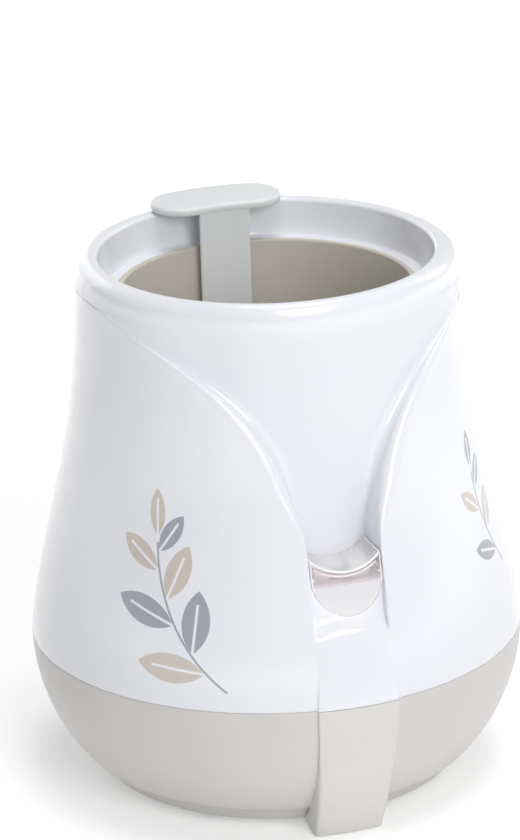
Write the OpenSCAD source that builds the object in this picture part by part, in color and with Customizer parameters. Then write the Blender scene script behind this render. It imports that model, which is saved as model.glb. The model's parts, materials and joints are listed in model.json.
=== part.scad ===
// Electric bottle warmer: a bell-shaped shell on a skirted base, with a heated well inside.
// The front faces -Y, the floor is z = 0 and the well's axis is the Z axis.

/* [Body] */
// Radius of the body at the seam, its widest place
seam_r = 69; // [64:0.5:76]
// Height of the seam between the shell and the base
seam_z = 42; // [40:0.5:46]
// Height of the rim's crown
rim_z = 151; // [146:0.5:162]
// Width of the rounded rim outside the mouth
rim_w = 4.8; // [4:0.1:6]
// Power of the bell curve, lower values narrow sooner
bell_power = 0.72; // [0.66:0.01:0.8]
// Wall of the two shells
wall = 2.4; // [1.8:0.1:2.8]
// Radius of the skirt's curve below the seam
skirt_curve_r = 51.4; // [48:0.2:60]
// Height of the skirt's lower edge
skirt_z = 7.4; // [6.6:0.1:9]
// Height of the lip that centres the shell on the base
lap_h = 3; // [2:0.1:4]
// Clearance between pieces that stay together
fit = 0.1; // [0.05:0.01:0.2]
// Clearance between pieces that move past each other
run_gap = 0.3; // [0.2:0.05:0.4]

/* [Mouth and well] */
// Inner radius of the well at its top
well_r = 39.8; // [37:0.1:43]
// Width of the ledge around the well
ledge_w = 3.2; // [2.4:0.1:4]
// Slope of the mouth's wall, as the growth of its radius
mouth_draft = 1.5; // [0.8:0.1:2.2]
// Depth of the ledge below the crown
ledge_depth = 10.4; // [8:0.1:13]
// Thickness of the ledge
ledge_t = 2.2; // [1.6:0.1:3]
// Rounding of the rim's inner edge
lip_r = 1.2; // [0.8:0.1:1.6]
// Height of the rounded shoulder outside the mouth
shoulder_h = 12; // [9:0.5:15]
// Slope of the well's wall, as the growth of its radius
well_draft = 1.4; // [0.8:0.1:2]
// Height of the well's floor
well_z = 56; // [54:0.5:60]
// Wall of the well
well_wall = 1.6; // [1.2:0.1:2]
// Width of the well's floor around the heater plate
hot_rim = 8.4; // [7.8:0.1:10]

/* [Finger recess] */
// Width of the channel that the lever sits in
channel_w = 20.8; // [19:0.1:23]
// Depth of the channel behind the lever's front
channel_depth = 2.8; // [2.4:0.1:3.4]
// Distance of the recess floor behind the lever's bracket
floor_back = 2; // [1.6:0.1:3]
// Distance of the recess floor inside the neck, at the rim
floor_in = 1; // [0.8:0.1:1.6]
// Radius of the curve that opens the recess to the rim
v_curve_r = 61.4; // [55:0.2:68]
// Angle that this curve sweeps
v_sweep = 55; // [48:1:60]

/* [Lever and switch] */
// Lowest point of the lever's finger scoop
scoop_z = 78.4; // [77:0.1:82]
// Rise of the scoop to the lever's corners
scoop_rise = 3.8; // [3:0.1:4.6]
// Thickness of the clear lever
lever_t = 1.6; // [1.4:0.1:2]
// Length of the lever's front below the scoop
lever_drop = 12.1; // [11:0.1:12.6]
// Travel of the lever
lever_travel = 2; // [1:0.1:2.2]
// Width of the microswitch
switch_w = 12.8; // [12:0.1:13.4]
// Depth of the microswitch
switch_d = 5; // [4.4:0.1:5.4]
// Height of the microswitch
switch_h = 6.5; // [6:0.1:6.8]
// Radius of the switch plunger
plunger_r = 1.2; // [1:0.05:1.4]
// Middle radius of the return spring
spring_r = 2; // [1.8:0.05:2.2]
// Radius of the spring's wire
spring_wire_r = 0.3; // [0.2:0.02:0.36]
// Turns of the return spring
spring_turns = 6; // [4:1:7]
// Radius of the indicator lamp
lamp_r = 1.5; // [1.3:0.1:1.8]

/* [Front strip and foot] */
// Room between the pressed lever and the strip's arched top
arch_gap = 1.8; // [1:0.1:3]
// Rise of the arch over its corners
arch_rise = 1.5; // [1:0.1:2]
// Width of the strip at the arch
arch_w = 19.4; // [18:0.1:20]
// Width of the strip at the seam
strip_w = 23.3; // [21:0.1:26]
// Distance that the strip stands proud at the seam
strip_proud = 1; // [0.6:0.1:1.6]
// Width of the foot at the floor
toe_w = 19.5; // [17:0.1:22]
// Distance of the foot's front behind the seam, at the floor
toe_back = 10; // [8:0.1:12]
// Outward bulge of the foot's front
toe_bulge = 2.2; // [1.6:0.1:3]
// Depth of the flat that the foot stands on
toe_land = 3; // [2:0.1:5]

/* [Base] */
// Height of the base plate's underside
plate_z = 2; // [1.4:0.1:2.6]
// Thickness of the base plate
plate_t = 2.4; // [2:0.1:3]
// Distance of the base plate's underside inside the skirt's lower edge
plate_in = 5.6; // [4.6:0.1:7]
// Radius of the bosses that the base screws hold
boss_r = 3.6; // [3.2:0.1:4]
// Height of the lower ends of these bosses
boss_z = 9.2; // [8.7:0.1:11.2]
// Radius of the rubber feet
pad_r = 5; // [4:0.1:7]
// Distance of the rubber feet inside the base plate's edge
pad_in = 4; // [3:0.1:8]
// Radius of all the screws
screw_r = 1.3; // [1:0.05:1.4]
// Height of the cord's way through the base
cord_z = 22; // [20:0.5:24]
// Radius of the cord's way
cord_r = 3.6; // [3:0.1:4]

/* [Heater] */
// Distance of the tubular element inside the heater plate's edge
element_in = 10; // [9.4:0.1:11]
// Radius of the element's tube
tube_r = 3.2; // [2.6:0.1:3.4]
// Radius of the thermostat
thermostat_r = 8; // [7:0.1:9]
// Height of the thermostat
thermostat_h = 7; // [6:0.1:8]
// Radius of the thermal fuse
fuse_r = 1.9; // [1.5:0.05:2]
// Depth of the heat shield below the well's floor
shield_depth = 22.8; // [20:0.2:25]

/* [Lifter] */
// Clearance of the lifter in the well
lifter_gap = 0.8; // [0.6:0.05:1.4]
// Thickness of the lifter's walls
lifter_t = 1.6; // [1.2:0.1:2]
// Height of the lifter's ring above its floor
ring_h = 40; // [30:1:55]
// Width of the lifter's handle
handle_w = 38; // [32:0.5:44]
// Thickness of the handle
handle_t = 2.3; // [2:0.1:3]

/* [Hidden] */
$fn = 96;
bell_steps = 24;
curve_steps = 10;
past = 1; // how far a cut runs past the face it opens
snug = 0.05; // clearance of pieces that are pressed together

// Heights and radii shared by several pieces
well_low_r = well_r - well_draft;
ledge_hole_r = well_r + well_wall + fit;
ledge_r = ledge_hole_r + ledge_w;
mouth_r = ledge_r + mouth_draft;
crown_r = mouth_r + lip_r;
neck_r = crown_r + rim_w;
ledge_z = rim_z - ledge_depth;
cavity_z = ledge_z - ledge_t;
shoulder_z = rim_z - shoulder_h;
plate_r = skirt(skirt_z) - plate_in;
pad_at = plate_r - pad_r - pad_in;
lap_r = bell(seam_z + lap_h) - wall - fit;
lap_t = 1.8;
v_start_z = scoop_z + scoop_rise;
shelf_gap = 0.4;
slot_z = scoop_z - lever_t - lever_travel - shelf_gap;
slot_w = channel_w - 1;
v_middle_x = channel_w / 2 + v_curve_r;
screw_hole_r = screw_r + snug;
screw_pass_r = screw_r + 0.2;
head_r = 2 * screw_r;
head_hole_r = head_r + 0.2;
head_h = 1.6;
head_deep = 3.2;
bite_h = 9;
pilot_h = bite_h + 1;

// Bosses and ears around the well
boss_at = well_low_r + well_wall + boss_r + 2.4;
boss_top_z = well_z + 5;
boss_angles = [45, 135, 225, 315];
pad_angles = [0, 90, 180, 270];
pillar_r = boss_r + 0.2;
flange_r = boss_at + pillar_r + 0.6;
ear_angles = [90, 210, 330];
ear_t = 3;
ear_lift = 12;
ear_z = well_z + ear_lift;
ear_boss_h = 14;
rib_t = 2;
well_flange_r = ledge_hole_r + 3;

// Heater stack, from the well's floor down
hot_r = well_low_r - hot_rim;
element_r = hot_r - element_in;
floor_t = 4;
floor_skin = 0.6;
seal_t = 1;
hot_t = 1.6;
hot_edge_r = hot_r + 4.5;
hot_z = well_z - floor_t - seal_t - hot_t;
clamp_t = 2;
clamp_z = hot_z - clamp_t;
clamp_r = well_low_r + well_wall - 0.5;
sheet_t = 0.8;
clamp_screw_at = (hot_edge_r + clamp_r) / 2;
stud_r = 1.4;
stud_hole_r = stud_r + snug;
stud_at = (thermostat_r + element_r - tube_r) / 2;
strap_z = hot_z - thermostat_h - sheet_t;
nut_h = 2.2;
fuse_at = (element_r + tube_r + hot_r - 1) / 2;
fuse_z = hot_z - fuse_r - snug / 2;
fuse_l = 12;

// Lever works behind the front wall
lever_w = channel_w - 2 * run_gap;
lever_proud = channel_depth - 0.3;
scoop_r = (pow(lever_w / 2, 2) + pow(scoop_rise, 2)) / (2 * scoop_rise);
slot_d = 1.9;
slide_y1 = bell(slot_z) - channel_depth - wall - slot_d;
slide_y0 = slide_y1 - switch_d - run_gap;
bracket_y = slide_y0 - run_gap;
bracket_t = 1.8;
floor_r = bracket_y - floor_back;
floor_top_r = neck_r - floor_in;
slide_y = (slide_y0 + slide_y1) / 2;
slide_l = 10;
slide_z = slot_z - wall - slide_l;
slide_w = slot_w - 4;
lamp_way = 3.2;
peg_r = 1.3;
peg_l = 3;
back_t = 1.6;
peg_x = (lamp_way + slide_w / 2) / 2;
touch = 0.1;
spare = 1.9;
plunger_in = 2.6;
switch_z = slide_z - touch - lever_travel - spare - switch_h;
plunger_z = switch_z + switch_h - plunger_in;
bracket_z = switch_z + boss_r + 0.4;
shelf_t = 1.5;
switch_x = -peg_x - switch_w / 4;
bracket_x = switch_w / 2 - switch_x + boss_r + 2 * run_gap;
ear_w = 1.6;
guide_x = slot_w / 2 + ear_w;
guide_z = slot_z - wall - run_gap;
board_t = 1.2;
board_z = slide_z - 0.2;

// Foot, gland and clamp
strip_top_z = scoop_z - lever_drop - lever_travel - arch_gap;
arch_z = strip_top_z - arch_rise;
toe_r = seam_r - toe_back;
toe_screw_x = 6;
toe_skin = 1.4;
toe_screw_z = 13;
toe_boss_h = 2.5;
toe_seat_y = skirt(toe_screw_z) - wall - toe_boss_h;
gland_t = 2;
gland_r = cord_r + gland_t;
gland_flange_r = gland_r + gland_t;
gland_pad_r = gland_flange_r + gland_t / 2;
gland_proud = 1.4;
gland_l = 10;
gland_face_y = skirt(cord_z) + gland_proud;
gland_in_y = gland_face_y - gland_l;
saddle_d = 8;
saddle_y = plate_r - saddle_d;
saddle_h = cord_r + 1.4;
saddle_screw_x = cord_r + head_r + screw_r;
saddle_w = 2 * (saddle_screw_x + head_r + 0.8);
block_w = 26;
block_d = 12;
block_h = 10;
block_y = 14;
block_lift = 3;
block_z = plate_z + plate_t + block_lift;

function mix(a, b, t) = a + (b - a) * t;

function flip(points) = [for (i = [len(points) - 1:-1:0]) [-points[i][0], points[i][1]]];

function bezier(p, t) =
    pow(1 - t, 3) * p[0] + 3 * t * pow(1 - t, 2) * p[1] + 3 * t * t * (1 - t) * p[2] + pow(t, 3) * p[3];

// Radius of the shell's outside at a height above the seam
function bell(z) =
    neck_r + (seam_r - neck_r) * (1 + cos(180 * pow((z - seam_z) / (rim_z - seam_z), bell_power))) / 2;

// Radius of the skirt's outside at a height below the seam
function skirt(z) = seam_r - skirt_curve_r + sqrt(pow(skirt_curve_r, 2) - pow(seam_z - z, 2));

// Radius of the recess floor, which is a cone
function recess_floor(z) = mix(floor_r, floor_top_r, (z - scoop_z) / (rim_z - scoop_z));

// Radius of the foot's front
function toe(z) =
    let (t = z / seam_z)
    mix(toe_r, seam_r + strip_proud, t) + 4 * toe_bulge * t * (1 - t);

function bell_line(grow, z0, z1) =
    [for (i = [0:bell_steps]) let (z = mix(z0, z1, i / bell_steps)) [bell(z) + grow, z]];

function skirt_line(grow, z0, z1) =
    [for (i = [0:curve_steps]) let (z = mix(z0, z1, i / curve_steps)) [skirt(z) + grow, z]];

// Rounded shoulder from the neck over to the crown
roll = [
    [bell(shoulder_z), shoulder_z],
    [bell(shoulder_z), mix(shoulder_z, rim_z, 0.55)],
    [mix(crown_r, bell(shoulder_z), 0.55), rim_z],
    [crown_r, rim_z]
];

// Right half of the recess as seen from the front, widened by grow
function v_side(grow) =
    let (
        r = v_curve_r - grow,
        arc = [for (i = [0:curve_steps]) let (a = v_sweep * i / curve_steps)
            [v_middle_x - r * cos(a), v_start_z + r * sin(a)]],
        last = arc[curve_steps]
    )
    concat(
        [[channel_w / 2 + grow, slot_z - grow]],
        arc,
        [[seam_r, last[1] + (seam_r - last[0]) / tan(v_sweep)], [seam_r, 2 * rim_z]]
    );

// Solid inside the bell curve, moved out by grow
module bell_body(grow, z0, z1) {
    rotate_extrude() polygon(concat([[0, z1], [0, z0]], bell_line(grow, z0, z1)));
}

// Solid inside the skirt's curve, moved out by grow
module skirt_body(grow, z0, z1) {
    rotate_extrude() polygon(concat([[0, z1], [0, z0]], skirt_line(grow, z0, z1)));
}

// Solid inside the recess floor, moved out by grow
module floor_cone(grow) {
    top_z = rim_z + 2 * past;
    translate([0, 0, seam_z])
        cylinder(h = top_z - seam_z, r1 = recess_floor(seam_z) + grow, r2 = recess_floor(top_z) + grow);
}

// Extrudes an outline drawn in X and Z from the axis to the front
module to_front() {
    rotate([90, 0, 0]) linear_extrude(2 * seam_r) children();
}

// Cylinder along Y from y0 to y1
module rod_y(r, x, z, y0, y1) {
    translate([x, y0, z]) rotate([-90, 0, 0]) cylinder(h = y1 - y0, r = r);
}

// Ring of four sides about the axis
module ring(r0, r1, z0, z1) {
    rotate_extrude() translate([r0, z0]) square([r1 - r0, z1 - z0]);
}

// Places children around the axis
module around(angles, at) {
    for (a = angles) rotate([0, 0, a]) translate([at, 0, 0]) children();
}

// Screw along Z with its head's seat at z = 0 and its shank upwards
module screw_up(length) {
    cylinder(h = length, r = screw_r);
    difference() {
        translate([0, 0, -head_h]) cylinder(h = head_h, r = head_r);
        for (a = [0, 90]) rotate([0, 0, a]) translate([-head_r * 0.6, -0.3, -head_h - past])
            cube([head_r * 1.2, 0.6, past + head_h / 2]);
    }
}

module v_outline(grow) {
    polygon(concat(v_side(grow), flip(v_side(grow))));
}

module channel_outline(grow) {
    translate([-channel_w / 2 - grow, arch_z - grow])
        square([channel_w + 2 * grow, slot_z + 0.5 - arch_z + grow]);
}

// Strip with an arched top, from the seam to the channel
module strip_outline() {
    arch_r = (pow(arch_w / 2, 2) + pow(arch_rise, 2)) / (2 * arch_rise);
    half = asin(arch_w / 2 / arch_r);
    arc = [for (i = [0:curve_steps]) let (a = mix(half, -half, i / curve_steps))
        [arch_r * sin(a), strip_top_z - arch_r + arch_r * cos(a)]];
    polygon(concat([[-strip_w / 2, seam_z], [strip_w / 2, seam_z]], arc));
}

module front_strip() {
    face = [for (i = [0:curve_steps]) let (z = mix(seam_z, strip_top_z, i / curve_steps))
        [bell(z) + strip_proud * (1 - i / curve_steps), z]];
    difference() {
        intersection() {
            to_front() strip_outline();
            rotate_extrude() polygon(concat([[0, strip_top_z], [0, seam_z]], face));
        }
        bell_body(-wall / 2, seam_z, arch_z);
        bell_body(-channel_depth - wall / 2, arch_z, v_start_z);
    }
}

// Inside of the shell, which leaves the walls of the recess and the channel
module shell_cavity() {
    difference() {
        rotate_extrude() polygon(concat(
            [[0, cavity_z], [0, seam_z - past], [seam_r - wall, seam_z - past]],
            bell_line(-wall, seam_z, cavity_z)));
        difference() {
            to_front() v_outline(wall);
            floor_cone(-wall);
        }
        difference() {
            to_front() channel_outline(wall);
            bell_body(-channel_depth - wall, seam_z, v_start_z);
        }
    }
}

module mouth_cut() {
    lip = [for (i = [0:curve_steps]) let (a = 90 * i / curve_steps)
        [crown_r - lip_r * cos(a), rim_z - lip_r + lip_r * sin(a)]];
    rotate_extrude() polygon(concat(
        [[0, ledge_z], [ledge_r, ledge_z]], lip, [[crown_r, rim_z + past], [0, rim_z + past]]));
    translate([0, 0, cavity_z - past]) cylinder(h = ledge_t + 2 * past, r = ledge_hole_r);
}

module shell_bosses() {
    around(boss_angles, boss_at) translate([0, 0, boss_z]) cylinder(h = boss_top_z - boss_z, r = boss_r);
    around(ear_angles, boss_at) translate([0, 0, ear_z]) cylinder(h = ear_boss_h, r = boss_r);
    intersection() {
        bell_body(-wall / 2, seam_z, cavity_z);
        union() {
            rib_z = seam_z + lap_h + 1;
            around(boss_angles, boss_at) translate([0, -rib_t / 2, rib_z])
                cube([seam_r, rib_t, boss_top_z - rib_z]);
            around(ear_angles, boss_at) translate([0, -rib_t / 2, ear_z]) cube([seam_r, rib_t, ear_boss_h]);
            for (s = [-1, 1]) rod_y(boss_r, s * bracket_x, bracket_z, -2 * seam_r, -bracket_y);
        }
    }
}

module upper_shell() {
    color("white") difference() {
        union() {
            difference() {
                rotate_extrude() polygon(concat(
                    [[0, rim_z], [0, seam_z]],
                    bell_line(0, seam_z, shoulder_z),
                    [for (i = [1:curve_steps]) bezier(roll, i / curve_steps)]));
                shell_cavity();
                mouth_cut();
                difference() {
                    to_front() v_outline(0);
                    floor_cone(0);
                }
                difference() {
                    to_front() channel_outline(0);
                    bell_body(-channel_depth, seam_z, v_start_z);
                }
            }
            front_strip();
            shell_bosses();
        }
        // slot in the ledge under the lever, that the lever's slide passes through
        translate([-slide_w / 2 - run_gap, -slide_y1 - run_gap, slot_z - wall - past])
            cube([slide_w + 2 * run_gap, slide_y1 - slide_y0 + 2 * run_gap, wall + 2 * past]);
        around(boss_angles, boss_at) translate([0, 0, boss_z - past])
            cylinder(h = pilot_h + past, r = screw_hole_r);
        around(ear_angles, boss_at) translate([0, 0, ear_z - past])
            cylinder(h = pilot_h + past, r = screw_hole_r);
        for (s = [-1, 1])
            rod_y(screw_hole_r, s * bracket_x, bracket_z, -bracket_y - pilot_h, -bracket_y + past);
    }
}

module base_shell() {
    seat_h = 6;
    inside = skirt_line(-wall, seam_z - seat_h, skirt_z + wall);
    color("tan") difference() {
        union() {
            rotate_extrude() polygon(concat(
                [[flange_r, skirt_z]],
                skirt_line(0, skirt_z, seam_z),
                [[lap_r, seam_z], [lap_r, seam_z + lap_h], [lap_r - lap_t, seam_z + lap_h],
                    [lap_r - lap_t, seam_z - lap_h]],
                inside,
                [[flange_r, skirt_z + wall]]));
            intersection() {
                skirt_body(-wall / 2, skirt_z, seam_z);
                union() {
                    rod_y(gland_pad_r, 0, cord_z, gland_in_y + gland_l / 3, 2 * seam_r);
                    for (s = [-1, 1])
                        rod_y(head_r + 1, s * toe_screw_x, toe_screw_z, -2 * seam_r, -toe_seat_y);
                }
            }
            rod_y(gland_pad_r, 0, cord_z, gland_in_y + gland_l / 2, gland_face_y);
        }
        rod_y(gland_flange_r + 0.4, 0, cord_z, gland_face_y, 2 * seam_r);
        rod_y(gland_r + fit, 0, cord_z, gland_in_y - past, 2 * seam_r);
        for (s = [-1, 1])
            rod_y(screw_pass_r, s * toe_screw_x, toe_screw_z, -2 * seam_r, -toe_seat_y + past);
    }
}

module front_foot() {
    top_z = seam_z - fit;
    face = [for (i = [0:curve_steps]) let (z = mix(0, top_z, i / curve_steps)) [toe(z), z]];
    color("gainsboro") difference() {
        intersection() {
            to_front() polygon([
                [-toe_w / 2, 0], [toe_w / 2, 0], [strip_w / 2, top_z], [-strip_w / 2, top_z]]);
            rotate_extrude() polygon(concat([
                [0, top_z], [0, plate_z], [plate_r, plate_z], [toe_r - toe_land, 0]], face));
        }
        skirt_body(fit, skirt_z, seam_z);
        translate([0, 0, -past]) cylinder(h = plate_z + past, r = plate_r + run_gap);
        translate([0, 0, plate_z])
            cylinder(h = skirt_z - plate_z, r1 = plate_r + run_gap, r2 = skirt(skirt_z) + fit);
        for (s = [-1, 1])
            rod_y(screw_hole_r, s * toe_screw_x, toe_screw_z, -toe(toe_screw_z) + toe_skin, -toe_seat_y);
    }
}

module foot_screws() {
    length = toe(toe_screw_z) - toe_skin - 0.4 - toe_seat_y;
    color("silver") for (s = [-1, 1])
        translate([s * toe_screw_x, -toe_seat_y, toe_screw_z]) rotate([90, 0, 0]) screw_up(length);
}

module base_plate() {
    rim_r = skirt(skirt_z) - 1.4;
    inner_z = plate_z + plate_t / 2;
    color("tan") difference() {
        union() {
            rotate_extrude() polygon([
                [0, plate_z], [plate_r, plate_z], [rim_r, skirt_z], [rim_r - wall, skirt_z],
                [plate_r - wall, plate_z + plate_t], [0, plate_z + plate_t]]);
            around(boss_angles, boss_at) translate([0, 0, plate_z])
                cylinder(h = boss_z - plate_z, r = pillar_r);
            translate([-saddle_w / 2, saddle_y - saddle_d / 2, inner_z])
                cube([saddle_w, saddle_d, cord_z - inner_z]);
            translate([-block_w / 2, block_y - block_d / 2, inner_z])
                cube([block_w, block_d, block_z - inner_z]);
        }
        around(boss_angles, boss_at) {
            translate([0, 0, plate_z - past]) cylinder(h = past + head_deep, r = head_hole_r);
            cylinder(h = boss_z + past, r = screw_pass_r);
        }
        around(pad_angles, pad_at) translate([0, 0, plate_z - past])
            cylinder(h = past + plate_t / 2, r = pad_r + fit);
        rod_y(cord_r, 0, cord_z, saddle_y - saddle_d, saddle_y + saddle_d);
        for (s = [-1, 1]) translate([s * saddle_screw_x, saddle_y, cord_z - pilot_h])
            cylinder(h = pilot_h + past, r = screw_hole_r);
        translate([0, block_y, inner_z]) cylinder(h = block_z, r = screw_hole_r);
    }
}

module rubber_feet() {
    edge = 0.5;
    pad_h = plate_z + plate_t / 2 - edge;
    color("dimgray") around(pad_angles, pad_at) {
        cylinder(h = edge, r1 = pad_r - edge, r2 = pad_r);
        translate([0, 0, edge]) cylinder(h = pad_h, r = pad_r);
    }
}

module base_screws() {
    seat_z = plate_z + head_deep;
    length = boss_z - seat_z + bite_h;
    color("silver") around(boss_angles, boss_at) translate([0, 0, seat_z]) screw_up(length);
}

module well_cup() {
    low_z = well_z - floor_t;
    flange_z = cavity_z - seal_t;
    bead_z = ledge_z + 0.4;
    ear_in = well_low_r + 0.7 * well_wall;
    color("linen") difference() {
        union() {
            rotate_extrude() polygon([
                [hot_r, low_z], [well_low_r + well_wall, low_z], [well_r + well_wall, flange_z - 3],
                [well_flange_r, flange_z - well_wall], [well_flange_r, flange_z],
                [well_r + well_wall, flange_z], [well_r + well_wall, bead_z], [well_r, bead_z],
                [well_low_r, well_z], [hot_r, well_z]]);
            around(ear_angles, boss_at) translate([0, 0, ear_z - ear_t]) cylinder(h = ear_t, r = boss_r);
            around(ear_angles, ear_in) translate([0, -boss_r, ear_z - ear_t])
                cube([boss_at - ear_in, 2 * boss_r, ear_t]);
        }
        around(ear_angles, boss_at) translate([0, 0, ear_z - ear_t - past])
            cylinder(h = ear_t + 2 * past, r = screw_pass_r);
        around(ear_angles, clamp_screw_at) translate([0, 0, low_z - past])
            cylinder(h = floor_t - floor_skin + past, r = screw_hole_r);
    }
}

module well_seal() {
    color("lightgray") ring(ledge_hole_r, well_flange_r - 0.2, cavity_z - seal_t, cavity_z);
}

module well_screws() {
    color("silver") around(ear_angles, boss_at) translate([0, 0, ear_z - ear_t]) screw_up(ear_t + bite_h);
}

module heater_plate() {
    stud_z = strap_z - nut_h - 1;
    color("silver") {
        translate([0, 0, hot_z]) cylinder(h = hot_t, r = hot_edge_r);
        translate([0, 0, hot_z]) cylinder(h = hot_t + seal_t + 0.8, r = hot_r - 0.5);
        for (s = [-1, 1]) translate([s * stud_at, 0, stud_z]) cylinder(h = hot_z - stud_z, r = stud_r);
    }
}

module plate_seal() {
    color("lightgray") ring(hot_r, hot_edge_r - 0.5, hot_z + hot_t, hot_z + hot_t + seal_t);
}

// Tubular element bent round, with two cold pins that turn down
module heating_element() {
    z = hot_z - tube_r;
    half = 160;
    pin_half = half - 4;
    pin_r = 1.2;
    pin_l = 8;
    color("dimgray") {
        translate([0, 0, z]) rotate([0, 0, 270 - half]) rotate_extrude(angle = 2 * half)
            translate([element_r, 0]) circle(r = tube_r);
        for (a = [270 - pin_half, 270 + pin_half]) rotate([0, 0, a]) translate([element_r, 0, z - pin_l])
            cylinder(h = pin_l, r = pin_r);
    }
}

module clamp_ring() {
    step_r = hot_edge_r + 0.3;
    color("gray") difference() {
        union() {
            ring(hot_r - 1, clamp_r, clamp_z, hot_z);
            ring(step_r, clamp_r, clamp_z, well_z - floor_t);
        }
        around(ear_angles, clamp_screw_at) translate([0, 0, clamp_z - past])
            cylinder(h = well_z - clamp_z, r = screw_pass_r);
    }
}

module heat_shield() {
    can_r = hot_r + 1;
    wire_hole_r = 6;
    low_z = well_z - shield_depth;
    color("silver") difference() {
        rotate_extrude() polygon([
            [0, low_z], [can_r, low_z], [can_r, clamp_z - sheet_t], [clamp_r, clamp_z - sheet_t],
            [clamp_r, clamp_z], [can_r - sheet_t, clamp_z], [can_r - sheet_t, low_z + sheet_t],
            [0, low_z + sheet_t]]);
        around(ear_angles, clamp_screw_at) translate([0, 0, clamp_z - past - sheet_t])
            cylinder(h = sheet_t + 2 * past, r = screw_pass_r);
        translate([0, 0, low_z - past]) cylinder(h = sheet_t + 2 * past, r = wire_hole_r);
    }
}

module heater_screws() {
    seat_z = clamp_z - sheet_t;
    length = well_z - floor_skin - 0.4 - seat_z;
    color("silver") around(ear_angles, clamp_screw_at) translate([0, 0, seat_z]) screw_up(length);
}

module thermostat() {
    tab_w = 4;
    tab_h = 6;
    tab_y = thermostat_r - 2.5;
    color("saddlebrown") translate([0, 0, hot_z - thermostat_h]) {
        cylinder(h = thermostat_h, r = thermostat_r);
        for (s = [-1, 1]) translate([-tab_w / 2, s * tab_y - sheet_t / 2, -tab_h])
            cube([tab_w, sheet_t, tab_h]);
    }
}

module thermostat_strap() {
    strap_w = 7;
    strap_l = 2 * stud_at + 6;
    color("silver") difference() {
        translate([-strap_l / 2, -strap_w / 2, strap_z]) cube([strap_l, strap_w, sheet_t]);
        for (s = [-1, 1]) translate([s * stud_at, 0, strap_z - past])
            cylinder(h = sheet_t + 2 * past, r = stud_hole_r);
    }
}

module strap_nuts() {
    color("silver") for (s = [-1, 1]) translate([s * stud_at, 0, strap_z - nut_h]) difference() {
        cylinder(h = nut_h, r = 2 * stud_r, $fn = 6);
        translate([0, 0, -past]) cylinder(h = nut_h + 2 * past, r = stud_hole_r);
    }
}

module thermal_fuse() {
    lead_l = 1.5 * fuse_l;
    color("gold") {
        translate([-fuse_l / 2, fuse_at, fuse_z]) rotate([0, 90, 0]) cylinder(h = fuse_l, r = fuse_r);
        translate([-lead_l / 2, fuse_at, fuse_z]) rotate([0, 90, 0]) cylinder(h = lead_l, r = fuse_r / 4);
    }
}

module fuse_clip() {
    clip_w = 5;
    clip_d = 2 * fuse_r + 1.2;
    clip_h = 2 * fuse_r + 1;
    color("silver") difference() {
        translate([-clip_w / 2, fuse_at - clip_d / 2, hot_z - clip_h]) cube([clip_w, clip_d, clip_h]);
        translate([-fuse_l / 2, fuse_at, fuse_z]) rotate([0, 90, 0]) cylinder(h = fuse_l, r = fuse_r + snug);
    }
}

// Bracket on the shell's front bosses: carries the switch, the spring and the lamp, and guides the slide
module switch_bracket() {
    plate_x = bracket_x + boss_r;
    shelf_y = slide_y1 + 0.6;
    shelf_x0 = switch_x - switch_w / 2 - 1;
    shelf_x1 = peg_x + spring_r + spring_wire_r + 1;
    guide_t = 1.5;
    post_w = 2.4;
    sunk = 0.1;
    color("lightsteelblue") difference() {
        union() {
            translate([-plate_x, -bracket_y, switch_z - shelf_t])
                cube([2 * plate_x, bracket_t, board_z - switch_z + shelf_t]);
            translate([-guide_x - run_gap - guide_t, -bracket_y, switch_z - shelf_t])
                cube([2 * (guide_x + run_gap + guide_t), bracket_t, guide_z - switch_z + shelf_t - 1]);
            translate([shelf_x0, -shelf_y, switch_z - shelf_t])
                cube([shelf_x1 - shelf_x0, shelf_y - bracket_y + sunk, shelf_t]);
            for (s = [-1, 1])
                translate([s * (guide_x + run_gap + guide_t / 2) - guide_t / 2, -slide_y, slide_z])
                    cube([guide_t, slide_y - bracket_y + sunk, guide_z - slide_z - 1]);
            translate([-post_w / 2, -slide_y1, switch_z - sunk])
                cube([post_w, slide_y1 - bracket_y + sunk, board_z - switch_z + sunk]);
            translate([peg_x, -slide_y, switch_z - sunk])
                cylinder(h = 3.5, r = spring_r - spring_wire_r - run_gap);
        }
        for (s = [-1, 1])
            rod_y(screw_pass_r, s * bracket_x, bracket_z, -bracket_y - past, -bracket_y + bracket_t + past);
    }
}

module bracket_screws() {
    color("silver") for (s = [-1, 1])
        translate([s * bracket_x, -bracket_y + bracket_t, bracket_z]) rotate([90, 0, 0])
            screw_up(bracket_t + bite_h);
}

module switch_body() {
    color("black") difference() {
        translate([switch_x - switch_w / 2, -slide_y - switch_d / 2, switch_z])
            cube([switch_w, switch_d, switch_h]);
        translate([-peg_x, -slide_y, plunger_z - lever_travel - run_gap])
            cylinder(h = switch_h, r = plunger_r + 0.08);
    }
}

module switch_plunger() {
    color("red") translate([-peg_x, -slide_y, plunger_z])
        cylinder(h = slide_z - touch - plunger_z, r = plunger_r);
}

// Helical return spring under the right leg of the slide
module return_spring() {
    sides = 6;
    rings = 12 * spring_turns;
    z0 = switch_z + spring_wire_r + 0.05;
    z1 = slide_z - spring_wire_r - 0.05;
    points = [for (i = [0:rings]) let (a = 360 * spring_turns * i / rings)
        for (j = [0:sides - 1]) let (b = 360 * j / sides, r = spring_r + spring_wire_r * cos(b))
            [peg_x + r * cos(a), -slide_y + r * sin(a), mix(z0, z1, i / rings) + spring_wire_r * sin(b)]];
    skin = [for (i = [0:rings - 1]) for (j = [0:sides - 1]) let (k = (j + 1) % sides)
        each [[i * sides + j, i * sides + k, (i + 1) * sides + k],
            [i * sides + j, (i + 1) * sides + k, (i + 1) * sides + j]]];
    first = [for (j = [1:sides - 2]) [0, j + 1, j]];
    last = [for (j = [1:sides - 2]) [rings * sides, rings * sides + j, rings * sides + j + 1]];
    color("silver") polyhedron(points, concat(skin, first, last));
}

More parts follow.
